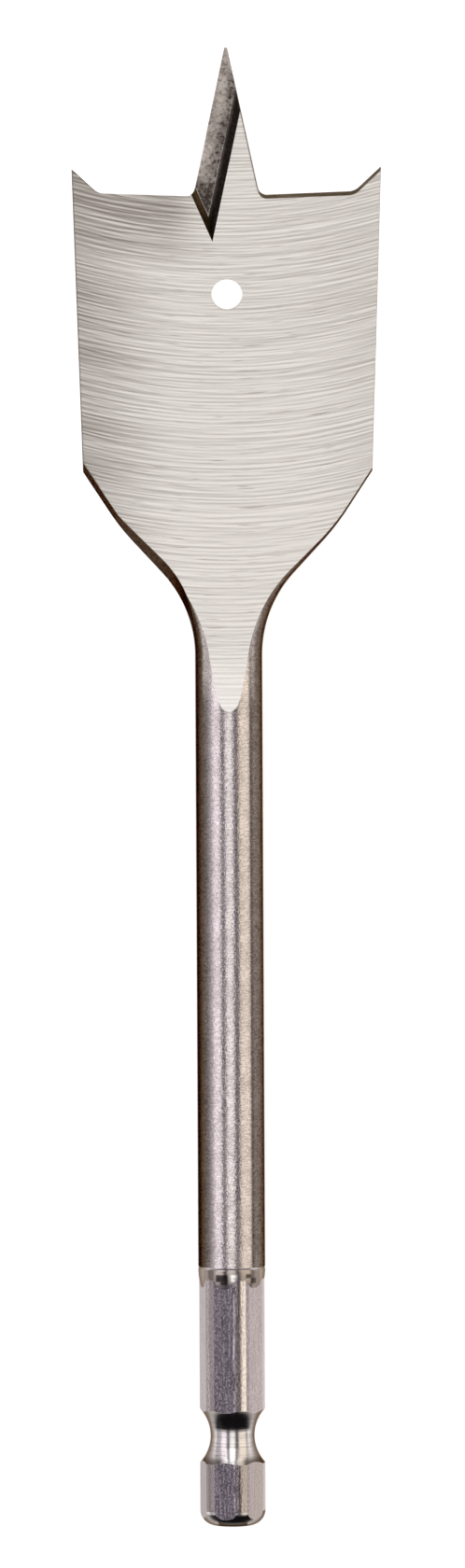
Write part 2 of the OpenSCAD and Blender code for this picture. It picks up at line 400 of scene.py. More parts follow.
class CuttingForm:
    """Outline of point, lip and spur, which the relief slants through the blade, and the pocket.

    The pocket's foot wall and its long wall run out of the outline between a place in the lip or in
    the point's root and the tip.
    """

    lip_place: float = 2.5
    root_place: float = 3.5
    tip_place: float = 5.0

    def __init__(self, sizes: BitSizes, edge: EdgeForm) -> None:
        """Works out the corners, fillets and pocket lines.

        Args:
            sizes: Sizes of the bit.
            edge: Outline of the forged edge and the sides.
        """
        z = self.sizes = sizes
        self.edge = edge
        self.half_point = math.radians(z.point_angle / 2)
        self.spur_slope = math.tan(math.radians(z.spur_angle))
        self.relief = math.radians(z.edge_relief)
        lip_slope = math.tan(math.radians(z.lip_angle))
        flare = math.tan(self.half_point)
        root_x = (z.tip_width / 2 + z.point_length * flare) / (1 + lip_slope * flare)
        spur_x = (z.half_width * self.spur_slope - z.spur_height) / (self.spur_slope - lip_slope)
        tip = np.array([z.tip_width / 2, z.length])
        root = np.array([root_x, z.lip_station + root_x * lip_slope])
        spur_root = np.array([spur_x, z.lip_station + spur_x * lip_slope])
        spur = np.array([z.half_width, z.spur_station])
        self.spur_arc = self.fillet(spur, spur_root, root, z.spur_root_radius)
        self.root_arc = self.fillet(spur_root, root, tip, z.point_root_radius)
        foot_s = z.lip_station - z.pocket_drop
        foot_x = z.pocket_width / math.cos(self.half_point) - z.tip_width / 2
        self.pocket_foot = np.array([foot_x - (z.length - foot_s) * flare, foot_s])

    @staticmethod
    def fillet(
        a: Array, corner: Array, b: Array, radius: float
    ) -> tuple[Array, float, float, float]:
        """Fillet in the corner between two legs.

        Args:
            a: Far end of the first leg.
            corner: The corner.
            b: Far end of the second leg.
            radius: Radius of the fillet.

        Returns:
            Its centre, its radius, and the angles at which it leaves the first leg and joins the
            second.
        """
        to_a, to_b = unit(a - corner), unit(b - corner)
        half = math.acos(float(to_a @ to_b)) / 2
        centre = corner + unit(to_a + to_b) * radius / math.sin(half)
        first, last = (corner + leg * radius / math.tan(half) - centre for leg in (to_a, to_b))
        start = math.atan2(first[1], first[0])
        sweep = (math.atan2(last[1], last[0]) - start + math.pi) % (2 * math.pi) - math.pi
        return centre, radius, start, start + sweep

    @staticmethod
    def on_arc(
        arc: tuple[Array, float, float, float], share: Array | float
    ) -> tuple[Array, Array]:
        """Point on a fillet.

        Args:
            arc: Centre, radius, first and last angle of the fillet.
            share: Share of its sweep.

        Returns:
            The point's x and s.
        """
        centre, radius, start, end = arc
        angle = start + (end - start) * share
        return centre[0] + radius * np.cos(angle), centre[1] + radius * np.sin(angle)

    def drop(self, h: Array, leading: bool) -> Array:
        """How far the relief drops the outline at height h, on the leading side or the other."""
        half = self.sizes.half_thickness
        return (half - h if leading else half + h) * math.tan(self.relief)

    def spur_tip(self, h: Array, drop: Array) -> tuple[Array, Array]:
        """Where the spur's slope meets the turned side, found by repeated substitution.

        Args:
            h: Heights.
            drop: How far the outline drops at each height.

        Returns:
            The crest's x and s.
        """
        z = self.sizes
        x = np.full(np.shape(h), z.half_width)
        for _ in range(SPUR_PASSES):
            s = self.slanted(z.spur_station + (x - z.half_width) * self.spur_slope, drop)
            x = self.edge.side_reach(s, h)
        return x, s

    def slanted(self, s: Array, drop: Array) -> Array:
        """Station on the slanted wall: the outline's own, stretched about the lips and dropped."""
        lip = self.sizes.lip_station
        return lip + (s - lip) / math.cos(self.relief) - drop

    def outline(self, u: Array, h: Array, leading: bool) -> tuple[Array, Array]:
        """Right-hand cutting outline at height h.

        u runs from 0 at the spur tip over the slope inside the spur (to 1), its root fillet (2),
        the lip (3), the point's root fillet (4) and the point's edge to the tip (5).

        Args:
            u: Places along the outline.
            h: Heights, which stretch to the shape of u.
            leading: Whether this side leads with its front face.

        Returns:
            The outline's x and s.
        """
        z = self.sizes
        u, h = np.broadcast_arrays(np.asarray(u, float), np.asarray(h, float))
        drop = self.drop(h, leading)
        tip_x, tip_s = self.spur_tip(h, drop)
        slope_x, slope_s = self.on_arc(self.spur_arc, 0.0)
        lip_x, lip_s = self.on_arc(self.spur_arc, 1.0)
        end_x, end_s = self.on_arc(self.root_arc, 0.0)
        spur_x, spur_s = self.on_arc(self.spur_arc, u - 1)
        root_x, root_s = self.on_arc(self.root_arc, u - 3)
        edge_from = self.slanted(self.on_arc(self.root_arc, 1.0)[1], drop)
        edge_s = edge_from + (u - 4) * (z.length - edge_from)
        drawn_s = z.lip_station + (edge_s + drop - z.lip_station) * math.cos(self.relief)
        edge_x = z.tip_width / 2 + (z.length - drawn_s) * math.tan(self.half_point)
        zones = [u < 1, u < 2, u < 3, u < 4]
        x = [tip_x + u * (slope_x - tip_x), spur_x, lip_x + (u - 2) * (end_x - lip_x), root_x]
        s = [
            tip_s + u * (self.slanted(slope_s, drop) - tip_s),
            self.slanted(spur_s, drop),
            self.slanted(lip_s + (u - 2) * (end_s - lip_s), drop),
            self.slanted(root_s, drop),
        ]
        return np.select(zones, x, edge_x), np.select(zones, s, edge_s)

    def wall_line(self, h: Array, left: bool) -> tuple[Array, Array]:
        """Normal and offset of the line of one of the pocket's walls at height h.

        A point is on the line where its distance from the pocket's foot along the normal is the
        offset.

        Args:
            h: Heights between the pocket's floor and the face.
            left: True for the foot wall, which ends on the left, False for the long wall.

        Returns:
            The normal, and an offset for each height.
        """
        z = self.sizes
        climb = z.pocket_depth - (z.half_thickness - h)
        turn, lean = -self.half_point, z.pocket_wall_lean
        if left:
            turn, lean = math.radians(z.pocket_foot_angle), -z.pocket_foot_lean
        normal = np.array([math.cos(turn), math.sin(turn)])
        return normal, climb * math.tan(math.radians(lean))

    def pocket_corner(self, h: Array) -> tuple[Array, Array]:
        """Where the pocket's two walls meet: the crossing of their lines.

        Args:
            h: Heights between the pocket's floor and the face.

        Returns:
            The corner's x and s at each height.
        """
        (a, p), (b, q) = self.wall_line(h, True), self.wall_line(h, False)
        det = a[0] * b[1] - a[1] * b[0]
        x = (p * b[1] - q * a[1]) / det
        s = (q * a[0] - p * b[0]) / det
        return self.pocket_foot[0] + x, self.pocket_foot[1] + s

    def wall_end(self, h: Array, left: bool) -> Array:
        """Place u at which a wall of the pocket runs out of the cutting outline at height h.

        Args:
            h: Heights between the pocket's floor and the face.
            left: True for the foot wall, which ends on the left, False for the long wall.

        Returns:
            A place for each height.
        """
        normal, offset = self.wall_line(h, left)
        foot_x, foot_s = self.pocket_foot
        side = -1.0 if left else 1.0

        def over(u: Array) -> Array:
            """How far the outline lies past the wall's line, on its way to the tip."""
            x, s = self.outline(u, h, leading=left)
            return side * (offset - (side * x - foot_x) * normal[0] - (s - foot_s) * normal[1])

        return root_of(over, self.lip_place if left else self.root_place, self.tip_place, h.shape)


@dataclass(frozen=True)
class BladeSkin:
    """Skin of blade, point, shoulders and neck, from the round of the shank to the tip.

    The rows of the neck crowd towards the end of the run-out. The steps of the cutting outline are
    those of the spur's slope, its fillet, the lip, the point's fillet up to the foot wall, the
    point's edge between the two walls, and the rest of it up to the tip.
    """

    sizes: BitSizes
    edge: EdgeForm
    cutting: CuttingForm
    round_steps: int = 30
    neck_from: float = 80.0
    start_steps: int = 3
    neck_steps: int = 55
    neck_crowding: float = 1.6
    hold_station: float = 107.0
    corner_search: float = 8.0
    corner_steps: int = 8
    side_steps: int = 56
    head_row: int = 40
    hole_rows: tuple[int, int] = (28, 38)
    hole_block: float = 0.85
    hole_wall_steps: int = 6
    ring_shares: tuple[float, ...] = (0.0, 0.4, 0.75, 0.93, 1.0)
    outline_steps: tuple[int, ...] = (6, 9, 14, 5, 24, 9)
    pocket_levels: int = 5
    foot_steps: int = 9

    def edge_heights(self) -> Array:
        """Heights up the blade's edge, from the middle plane to the face, as on a round bar."""
        r, t = self.sizes.shank_radius, np.linspace(0, 1, self.round_steps + 1)
        return r * np.sin(t * math.asin(self.sizes.half_thickness / r))

    def side(self, left: bool) -> tuple[Array, Array]:
        """Front half of one edge of the forging, from the middle plane up to the ground face.

        Along the second parameter the height rises with the sine of an even angle, as on the round
        bar that the edge is forged from. From the hold station on, the rows bend so that one of
        them is the corner between shoulder and side, and the last is the spur's crest.

        Args:
            left: Whether it is the left edge, which has the trimmed bevel.

        Returns:
            The grid of the forged stretch and the grid of the turned side.
        """
        z, edge = self.sizes, self.edge
        r = z.shank_radius
        t = np.linspace(0, 1, self.round_steps + 1)
        start, hold = z.runout_station, self.hold_station
        run = start + (hold - start) * np.linspace(0, 1, self.neck_steps + 1) ** self.neck_crowding
        before = np.linspace(self.neck_from, start, self.start_steps, endpoint=False)
        s_row = np.concatenate([before, run])
        top = np.arcsin(edge.face_height(s_row) / r)
        h = r * np.sin(t[None] * top[:, None])
        s = np.broadcast_to(s_row[:, None], h.shape)
        h_top = self.edge_heights()

        def past(at: Array) -> Array:
            """How far the forged edge reaches past the turned side."""
            return edge.forged_reach(at, h_top, left) - edge.side_reach(at, h_top)

        corner = root_of(past, hold, hold + self.corner_search, t.shape)
        warp = np.linspace(0, 1, self.corner_steps + 1)[1:, None]
        s = np.concatenate([s, hold + warp * (corner - hold)])
        h = np.concatenate([h, np.broadcast_to(h_top, (self.corner_steps, t.size))])
        x = np.minimum(edge.forged_reach(s, h, left), edge.side_reach(s, h))
        _, crest = self.cutting.spur_tip(h_top, self.cutting.drop(h_top, left))
        rise = np.linspace(0, 1, self.side_steps + 1)[:, None]
        side_s = corner + rise * (crest - corner)
        side_x = edge.side_reach(side_s, h_top)
        sign = -1.0 if left else 1.0
        return points_of(sign * x, s, h), points_of(sign * side_x, side_s, h_top)

    def outline_places(self) -> tuple[Array, Array, Array, Array]:
        """Places along the cutting outline at which the skin has points.

        Returns:
            All the places, those where the foot wall and the long wall leave the outline, one for
            each level of the pocket, and the heights of those levels.
        """
        top = self.sizes.half_thickness
        level = np.linspace(top, top - self.sizes.pocket_depth, self.pocket_levels + 1)
        foot, long = self.cutting.wall_end(level, True), self.cutting.wall_end(level, False)
        slope, fillet, lip, root, between, rest = self.outline_steps
        stretches = ((0, 1, slope), (1, 2, fillet), (2, 3, lip), (3, foot[0], root))
        places = [np.linspace(a, b, count, endpoint=False) for a, b, count in stretches]
        places += [foot, np.linspace(foot[-1], long[0], between + 1)[1:-1]]
        places += [long, np.linspace(long[-1], self.cutting.tip_place, rest + 1)[1:]]
        return np.concatenate(places), foot, long, level

    def outline_points(self, u: Array, h: float, left: bool) -> Array:
        """Points of the cutting outline at one height, on the left or the right."""
        x, s = self.cutting.outline(u, np.full(u.shape, h), leading=left)
        return points_of(-x if left else x, s, np.full(u.shape, h))

    def wall_points(self, level: Array, ends: Array, left: bool, steps: int) -> Array:
        """One wall of the pocket: at each level a straight line between its corner and its end.

        Args:
            level: Heights from the face down to the floor.
            ends: Places on the outline where the wall runs out, one for each level.
            left: True for the foot wall, which ends on the left, False for the long wall.
            steps: Number of steps along the wall.

        Returns:
            A grid with one row for each level, from left to right.
        """
        x, s = self.cutting.outline(ends, level, leading=left)
        corner = points_of(*self.cutting.pocket_corner(level), level)
        end = points_of(-x if left else x, s, level)
        grid = ruled(end, corner, steps) if left else ruled(corner, end, steps)
        return grid.swapaxes(0, 1)

    def hole_ring(self, grid: Array, rows: tuple[int, int], columns: tuple[int, int]) -> Patch:
        """Ring of the face between a block of its grid and the rim of the hanging hole.

        Args:
            grid: Grid of the face.
            rows: First and last row of the block.
            columns: First and last column of the block.

        Returns:
            The ring, whose lines run straight from the block's border to even places on the rim.
        """
        z = self.sizes
        (i, k), (j, m) = rows, columns
        border = np.concatenate(
            [grid[i, j:m], grid[i:k, m], grid[k, m:j:-1], grid[k:i:-1, j], grid[i, j : j + 1]]
        )
        count = len(border) - 1
        angle = -math.pi / 2 + 2 * math.pi * (np.arange(count + 1) - (m - j) / 2) / count
        r = z.hole_diameter / 2
        rim = points_of(r * np.cos(angle), z.hole_station + r * np.sin(angle), z.half_thickness)
        return Patch(Finish.GROUND, ruled(border, rim, np.array(self.ring_shares)))

    def front(self) -> tuple[list[Patch], Array, Array]:
        """The front half of blade and neck.

        Returns:
            All its stretches, the rim of the hanging hole and the crest of the tip.
        """
        z = self.sizes
        places, foot, long, level = self.outline_places()
        left_edge, left_side = self.side(left=True)
        right_edge, right_side = self.side(left=False)
        floor_h = float(level[-1])

        # Top border of the face, from the left spur over lip, pocket and lip to the right spur
        before_foot = places[places <= foot[0]]
        before_long = places[places <= long[0]]
        along_long = int(np.sum((places >= foot[-1]) & (places <= long[-1]))) - 1
        foot_wall = self.wall_points(level, foot, True, self.foot_steps)
        long_wall = self.wall_points(level, long, False, along_long)
        border = np.concatenate(
            [
                self.outline_points(before_foot, z.half_thickness, left=True),
                foot_wall[0, 1:],
                long_wall[0, 1:],
                self.outline_points(before_long[::-1], z.half_thickness, left=False)[1:],
            ]
        )
        share = (border[:, 0] - border[0, 0]) / (border[-1, 0] - border[0, 0])

        # Face from the tip of the run-out up to the head, ruled from edge to edge
        run = np.argmin(np.abs(left_edge[:, -1, 1] - z.runout_station))
        sides = [
            np.concatenate([edge[run:, -1], side[1 : self.head_row + 1, -1]])
            for edge, side in ((left_edge, left_side), (right_edge, right_side))
        ]
        face = ruled(*sides, share).swapaxes(0, 1)
        face[..., 2] = self.edge.face_height(face[..., 1])
        first = len(left_edge) - run - 1
        rows = (first + self.hole_rows[0], first + self.hole_rows[1])
        across = np.abs(face[sum(rows) // 2, :, 0])
        block = np.flatnonzero(across < self.hole_block * z.hole_diameter)
        columns = (int(block[0]), int(block[-1]))
        cells = np.zeros((face.shape[0] - 1, face.shape[1] - 1), bool)
        cells[slice(*rows), slice(*columns)] = True
        ring = self.hole_ring(face, rows, columns)

        # Head of the face, ruled from the last row of the face to the border
        up = np.linspace(0, 1, self.side_steps - self.head_row + 1)
        head = ruled(face[-1], border, up)
        head[:, 0] = left_side[self.head_row :, -1]
        head[:, -1] = right_side[self.head_row :, -1]

        # Pocket floor, ruled from the point's left edge to the long wall and then the right edge
        rest = places[places >= foot[-1]]
        floor_left = self.outline_points(rest, floor_h, left=True)
        beyond = places[places > long[-1]]
        floor_right = np.concatenate(
            [long_wall[-1], self.outline_points(beyond, floor_h, left=False)]
        )
        floor = ruled(floor_left, floor_right, self.foot_steps)

        # Slanted wall of the left lip, spur and point edge, from the front through to the back
        heights = self.edge_heights()
        through = np.concatenate([heights[::-1], -heights[1:]]) / z.half_thickness
        top = np.interp(places, foot, level)
        bottom = -np.interp(places, long, level)
        h = (top + bottom) / 2 + np.multiply.outer(through, (top - bottom) / 2)
        x, s = self.cutting.outline(np.broadcast_to(places, h.shape), h, leading=True)
        wall = points_of(-x, s, h)
        patches = [
            Patch(Finish.SHANK, left_edge),
            Patch(Finish.SHANK, right_edge),
            Patch(Finish.SIDE, left_side),
            Patch(Finish.SIDE, right_side),
            Patch(Finish.GROUND, face, cells),
            ring,
            Patch(Finish.GROUND, head),
            Patch(Finish.FOOT, foot_wall),
            Patch(Finish.WALL, long_wall),
            Patch(Finish.FLOOR, floor),
            Patch(Finish.LIP, wall),
        ]
        return patches, ring.points[-1], wall[:, -1]

    def patches(self) -> list[Patch]:
        """The whole skin of blade and neck, with the hole's wall and the tip's small flat.

        Returns:
            Its stretches.
        """
        front, rim, crest = self.front()
        through = [
            Patch(Finish.TURNED, ruled(rim, rim * TO_BACK, self.hole_wall_steps)),
            Patch(Finish.LIP, ruled(crest, crest[::-1] * HALF_TURN, self.foot_steps)),
        ]
        return front + [p.half_turned() for p in front] + through


@dataclass(frozen=True)
class DriveSkin:
    """Skin of the hex drive with its rounded end and catch groove, and of the round shank.

    Corners with a painted highlight strip are the one in front and the one opposite.
    """

    sizes: BitSizes
    flat_steps: int = 13
    corner_steps: int = 7
    cap_steps: int = 5
    arc_steps: int = 14
    groove_steps: int = 36
    hex_steps: tuple[int, int] = (14, 20)
    shank_steps: int = 12
    shank_from: float = 28.0
    # The corners that take the finish with the painted highlight strip
    polished: tuple[int, ...] = (0, 3)

    @property
    def flat_angle(self) -> float:
        """Angle of the middle of the first flat, measured from +x towards the front."""
        return math.radians(self.sizes.hex_turn) + math.pi / 6

    @property
    def corner_half(self) -> float:
        """Half the angle that a flat takes up at the turned corners."""
        return math.acos(self.sizes.hex_across_flats / self.sizes.hex_corner_diameter)

    def angles(self) -> Array:
        """Angles round the axis of the lengthwise lines, even over each flat and over each corner.

        Returns:
            The angles from +x towards the front, with the first one again at the end.
        """
        a = self.corner_half
        flat = np.linspace(-a, a, self.flat_steps + 1)[:-1]
        corner = np.linspace(a, math.pi / 3 - a, self.corner_steps + 1)[:-1]
        sixth = np.concatenate([flat, corner])
        full = (self.flat_angle + sixth[None] + math.pi / 3 * np.arange(6)[:, None]).ravel()
        return np.append(full, full[0] + 2 * math.pi)

    def skin_radius(self, angle: Array) -> Array:
        """Distance from the axis to the hex's skin: the turned corner, or the flat if it is nearer.

        Args:
            angle: Angles round the axis.

        Returns:
            The distance at each angle.
        """
        z = self.sizes
        off = (angle - self.flat_angle + math.pi / 6) % (math.pi / 3) - math.pi / 6
        return np.minimum(z.hex_corner_diameter / 2, z.hex_across_flats / 2 / np.cos(off))

    @staticmethod
    def turned(radius: Array, s: Array, angle: Array) -> Array:
        """Points at a radius, a station and an angle round the axis."""
        return points_of(radius * np.cos(angle), s, radius * np.sin(angle))

    def patches(self) -> list[Patch]:
        """All stretches of drive and shank up to the neck.

        Every stretch is a fan of the same lengthwise lines. Turned arcs are stepped by their own
        angle, and each ends on the hex's skin, so a flat's ends come out as the turned curves cut
        them.

        Returns:
            The stretches.
        """
        z = self.sizes
        angle = self.angles()
        skin = self.skin_radius(angle)
        corner_r, r = z.hex_corner_diameter / 2, z.shank_radius
        step = np.linspace(0, 1, self.arc_steps + 1)[:, None]

        # Rounded end: an arc from the end face to the skin
        end_r = z.hex_end_radius
        end_turn = np.arccos(np.clip((skin - corner_r + end_r) / end_r, -1, 1))
        swing = math.pi / 2 - step * (math.pi / 2 - end_turn)
        out, up = end_r * np.cos(swing), end_r * np.sin(swing)
        end = self.turned(corner_r - end_r + out, end_r - up, angle)
        cap = ruled(self.turned(0.0, end[0, :, 1], angle), end[0], self.cap_steps)

        # Catch groove: a hollow arc from skin to skin
        hollow = z.groove_diameter / 2 + z.groove_radius
        reach = np.arccos((hollow - skin) / z.groove_radius)
        swing = np.linspace(-1, 1, self.groove_steps + 1)[:, None] * reach
        out, up = z.groove_radius * np.cos(swing), z.groove_radius * np.sin(swing)
        groove = self.turned(hollow - out, z.groove_station + up, angle)

        # Rounded end of the shank: an arc from the skin up to the full radius
        curve = z.hex_shoulder_radius
        reach = np.arccos((skin - r + curve) / curve)
        swing = (1 - step) * reach
        out, up = curve * np.cos(swing), curve * np.sin(swing)
        shoulder = self.turned(r - curve + out, z.hex_length - up, angle)

        # Turned line and the start of the plain shank
        w, depth = z.turned_line_width, z.turned_line_depth
        line_s = z.hex_length + np.array([0, w / 2, w, self.shank_from - z.hex_length])
        line_r = r - np.array([0, depth, 0, 0])
        line = self.turned(line_r[:, None], line_s[:, None], angle)

        # Hex skin between end and groove, and between groove and shank
        below = ruled(end[-1], groove[0], self.hex_steps[0])
        above = ruled(groove[-1], shoulder[0], self.hex_steps[1])
        turned = (cap, end, groove, shoulder, line[:3])
        patches = [Patch(Finish.TURNED, points) for points in turned]
        patches.append(Patch(Finish.SHANK, line[2:]))
        sixth = self.flat_steps + self.corner_steps
        for k in range(6):
            flat = slice(k * sixth, k * sixth + self.flat_steps + 1)
            corner = slice(k * sixth + self.flat_steps, (k + 1) * sixth + 1)
            finish = Finish.CORNER if k in self.polished else Finish.FLAT
            for band in (below, above):
                patches.append(Patch(Finish.FLAT, band[:, flat]))
                patches.append(Patch(finish, band[:, corner]))
        return patches + [self.shank(angle)]

    def shank(self, angle: Array) -> Patch:
        """Plain round shank, whose lines drift from the hex's angles to even ones at the neck.

        Args:
            angle: Angles of the lines at the hex.

        Returns:
            The tube.
        """
        count = len(angle) - 1
        even = 2 * math.pi / count
        first = round(float(angle[0]) / even)
        target = (first + np.arange(count + 1)) * even
        share = np.linspace(0, 1, self.shank_steps + 1)[:, None]
        s = self.shank_from + share * (BladeSkin.neck_from - self.shank_from)
        drift = angle + share * (target - angle)
        return Patch(Finish.SHANK, self.turned(self.sizes.shank_radius, s, drift))


@dataclass(frozen=True)
class Bit:
    """The whole bit as one closed mesh, welded in metres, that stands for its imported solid."""

    sizes: BitSizes
    name: str = "spade_bit_skin"
    node: str = "spade_bit"
    body: str = "root"
    slot: str = "steel"
    weld_distance: float = 3e-7
    crease_angle: float = math.radians(15)

    def patches(self) -> list[Patch]:
        """All stretches of the skin, from the hex end to the tip.

        Returns:
            The stretches.
        """
        edge = EdgeForm(self.sizes)
        blade = BladeSkin(self.sizes, edge, CuttingForm(self.sizes, edge))
        return DriveSkin(self.sizes).patches() + blade.patches()

    def in_frame(self, points: Array) -> Array:
        """Points moved from the drawing's millimetres to the frame's metres, lying on the floor."""
        z = self.sizes
        return (points + np.array([0.0, -z.length / 2, z.shank_radius])) * MM

    def build(self, materials: dict[Finish, bpy.types.Material]) -> bpy.types.Object:
        """Makes the mesh, welds its stretches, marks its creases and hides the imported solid.

        Args:
            materials: Material of each finish.

        Returns:
            The new object.
        """
        patches = self.patches()
        order = list(Finish)
        starts = np.cumsum([0] + [p.points.shape[0] * p.points.shape[1] for p in patches])
        cells = [p.quads(int(n)) for p, n in zip(patches, starts)]
        slots = np.repeat([order.index(p.finish) for p in patches], [len(c) for c in cells])
        points = self.in_frame(np.concatenate([p.points.reshape(-1, 3) for p in patches]))
        mesh = bpy.data.meshes.new(self.name)
        mesh.from_pydata(points.tolist(), [], np.concatenate(cells).tolist())
        for finish in order:
            mesh.materials.append(materials[finish])
        mesh.polygons.foreach_set("material_index", slots.astype(np.int32))
        self.weld(mesh)
        self.crease(mesh)
        piece = bpy.data.objects.new(self.name, mesh)
        bpy.context.scene.collection.objects.link(piece)
        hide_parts(self.node)
        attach(piece, self.body)
        return piece

    def weld(self, mesh: bpy.types.Mesh) -> None:
        """Joins the stretches along their borders and turns every face outwards.

        Args:
            mesh: Mesh of the loose stretches.
        """
        form = bmesh.new()
        form.from_mesh(mesh)
        bmesh.ops.remove_doubles(form, verts=form.verts, dist=self.weld_distance)
        bmesh.ops.dissolve_degenerate(form, edges=form.edges, dist=self.weld_distance)
        bmesh.ops.recalc_face_normals(form, faces=form.faces)
        open_edges = sum(not e.is_manifold for e in form.edges)
        volume = form.calc_volume() / MM**3
        LOG.info("%d faces, %d open edges, %.1f mm3", len(form.faces), open_edges, volume)
        form.to_mesh(mesh)
        form.free()

    @staticmethod
    def read(items: bpy.types.bpy_prop_collection, name: str, like: Array) -> Array:
        """Reads one attribute of all faces or face corners.

        Args:
            items: The faces or corners.
            name: Name of the attribute.
            like: One value of the attribute, which gives its width and kind.

        Returns:
            One row or one number for each item.
        """
        values = np.empty((len(items), like.size), like.dtype)
        items.foreach_get(name, values.ravel())
        return values.squeeze()

    def crease(self, mesh: bpy.types.Mesh) -> None:
        """Shades the mesh smooth, with creases at sharp angles and where two finishes meet.

        Args:
            mesh: The welded mesh, which has two faces at every edge.
        """
        faces, number, vector = mesh.polygons, np.zeros(1, np.int32), np.zeros(3, np.float32)
        edge_of = self.read(mesh.loops, "edge_index", number)
        totals = self.read(faces, "loop_total", number)
        slots = self.read(faces, "material_index", number)
        normals = self.read(faces, "normal", vector)
        face_of = np.repeat(np.arange(len(faces)), totals)
        one, other = face_of[np.argsort(edge_of, kind="stable")].reshape(-1, 2).T
        turn = np.einsum("ij,ij->i", normals[one], normals[other])
        sharp = (turn < math.cos(self.crease_angle)) | (slots[one] != slots[other])
        mesh.attributes.new("sharp_edge", "BOOLEAN", "EDGE").data.foreach_set("value", sharp)
        faces.foreach_set("use_smooth", np.ones(len(faces), bool))


Color = tuple[float, float, float]
Span = tuple[float, float]
Socket = bpy.types.NodeSocket


class Ramp(NamedTuple):
    """A smooth change of a value: from first at low to last at high, and level beyond both."""

    low: float
    high: float
    first: float = 0.0
    last: float = 1.0


class Amount:
    """A number over the surface: an output of a node, with the usual arithmetic."""

    def __init__(self, graph: Graph, socket: Socket) -> None:
        """Wraps an output of one of the graph's nodes."""
        self.graph = graph
        self.socket = socket

    def math(self, operation: str, first: Operand, second: Operand = 0.0) -> Amount:
        """Result of a Math node, such as MAXIMUM, for one or two values."""
        node = self.graph.node("ShaderNodeMath", {0: first, 1: second}, operation=operation)
        return Amount(self.graph, node.outputs[0])

    def __add__(self, other: Operand) -> Amount:
        """The sum with another value."""
        return self.math("ADD", self, other)

    def __sub__(self, other: Operand) -> Amount:
        """The value less another one."""
        return self.math("SUBTRACT", self, other)

    def __rsub__(self, other: float) -> Amount:
        """A number less the value."""
        return self.math("SUBTRACT", other, self)

    def __mul__(self, other: Operand) -> Amount:
        """The product with another value."""
        return self.math("MULTIPLY", self, other)

    def __truediv__(self, other: Operand) -> Amount:
        """The value divided by another one."""
        return self.math("DIVIDE", self, other)

    def __abs__(self) -> Amount:
        """The value without its sign."""
        return self.math("ABSOLUTE", self)

    def sign(self) -> Amount:
        """The value's sign: 1, 0 or -1."""
        return self.math("SIGN", self)

    def most(self, other: Operand) -> Amount:
        """The larger of two values."""
        return self.math("MAXIMUM", self, other)

    def ramp(self, low: float, high: float, first: float = 0.0, last: float = 1.0) -> Amount:
        """The value's smooth change, level beyond both its ends, with the numbers of a Ramp.

        Args:
            low: Value at which the change starts.
            high: Value at which it ends.
            first: Result at low.
            last: Result at high.

        Returns:
            The changed value.
        """
        values = {"Value": self, "From Min": low, "From Max": high, "To Min": first, "To Max": last}
        node = self.graph.node("ShaderNodeMapRange", values, interpolation_type="SMOOTHSTEP")
        return Amount(self.graph, node.outputs[0])


Operand = Amount | float


class Graph:
    """A node tree with short ways to add nodes and join them."""

    def __init__(self, tree: bpy.types.NodeTree) -> None:
        """Wraps a tree, which keeps the nodes that it has."""
        self.tree = tree

    def node(self, kind: str, values: dict | None = None, **settings: object) -> bpy.types.Node:
        """Adds a node.

        Args:
            kind: Blender's name of the node type.
            values: Input name or number to a value, or to the output that feeds it.
            settings: Properties of the node itself.

        Returns:
            The new node.
        """
        made = self.tree.nodes.new(kind)
        for key, value in settings.items():
            setattr(made, key, value)
        for key, value in (values or {}).items():
            self.join(value, made.inputs[key])
        return made

    def join(self, value: object, socket: Socket) -> None:
        """Feeds an input from an output, or sets it to a plain value.

        Args:
            value: The output, or the plain value.
            socket: The input.
        """
        if isinstance(value, Amount):
            value = value.socket
        if isinstance(value, bpy.types.NodeSocket):
            self.tree.links.new(value, socket)
        else:
            socket.default_value = value

    def blend(self, share: Amount, first: object, second: object, mode: str = "MIX") -> Socket:
        """Two colours blended by a share, which counts from 0 to 1.

        Args:
            share: Share of the second colour.
            first: First colour, or the output that gives it.
            second: Second colour, or the output that gives it.
            mode: Blender's name of the blend.

        Returns:
            The blended colour.
        """
        made = self.node("ShaderNodeMix", {0: share}, data_type="RGBA", blend_type=mode)
        colours = [s for s in made.inputs if s.type == "RGBA"]
        for socket, colour in zip(colours, (first, second)):
            self.join((*colour, 1.0) if isinstance(colour, tuple) else colour, socket)
        return next(s for s in made.outputs if s.type == "RGBA")

    def millimetres(self) -> Socket:
        """Place on the bit, in millimetres from the frame's origin."""
        place = self.node("ShaderNodeTexCoord").outputs["Object"]
        return self.node("ShaderNodeMapping", {"Vector": place, "Scale": (1 / MM,) * 3}).outputs[0]

    def axes(self, vector: Socket) -> list[Amount]:
        """The three parts of a vector."""
        parts = self.node("ShaderNodeSeparateXYZ", {0: vector}).outputs
        return [Amount(self, part) for part in parts]

    def facing(self) -> list[Amount]:
        """The three parts of the direction that the bit's surface faces."""
        return self.axes(self.node("ShaderNodeTexCoord").outputs["Normal"])

    def noise(
        self,
        place: Socket,
        scale: Color = (1.0, 1.0, 1.0),
        detail: float = 3.0,
        rough: float = 0.55,
        fineness: Operand = 1.0,
    ) -> Amount:
        """Cloudy values from 0 to 1.

        Args:
            place: Where to read the clouds.
            scale: How many clouds there are for each millimetre along each axis.
            detail: How many times smaller clouds are laid over the large ones.
            rough: How strong the smaller clouds are.
            fineness: Number by which the scale is multiplied.

        Returns:
            The clouds.
        """
        stretched = self.node("ShaderNodeMapping", {"Vector": place, "Scale": scale}).outputs[0]
        values = {"Vector": stretched, "Scale": fineness, "Detail": detail, "Roughness": rough}
        return Amount(self, self.node("ShaderNodeTexNoise", values).outputs[0])


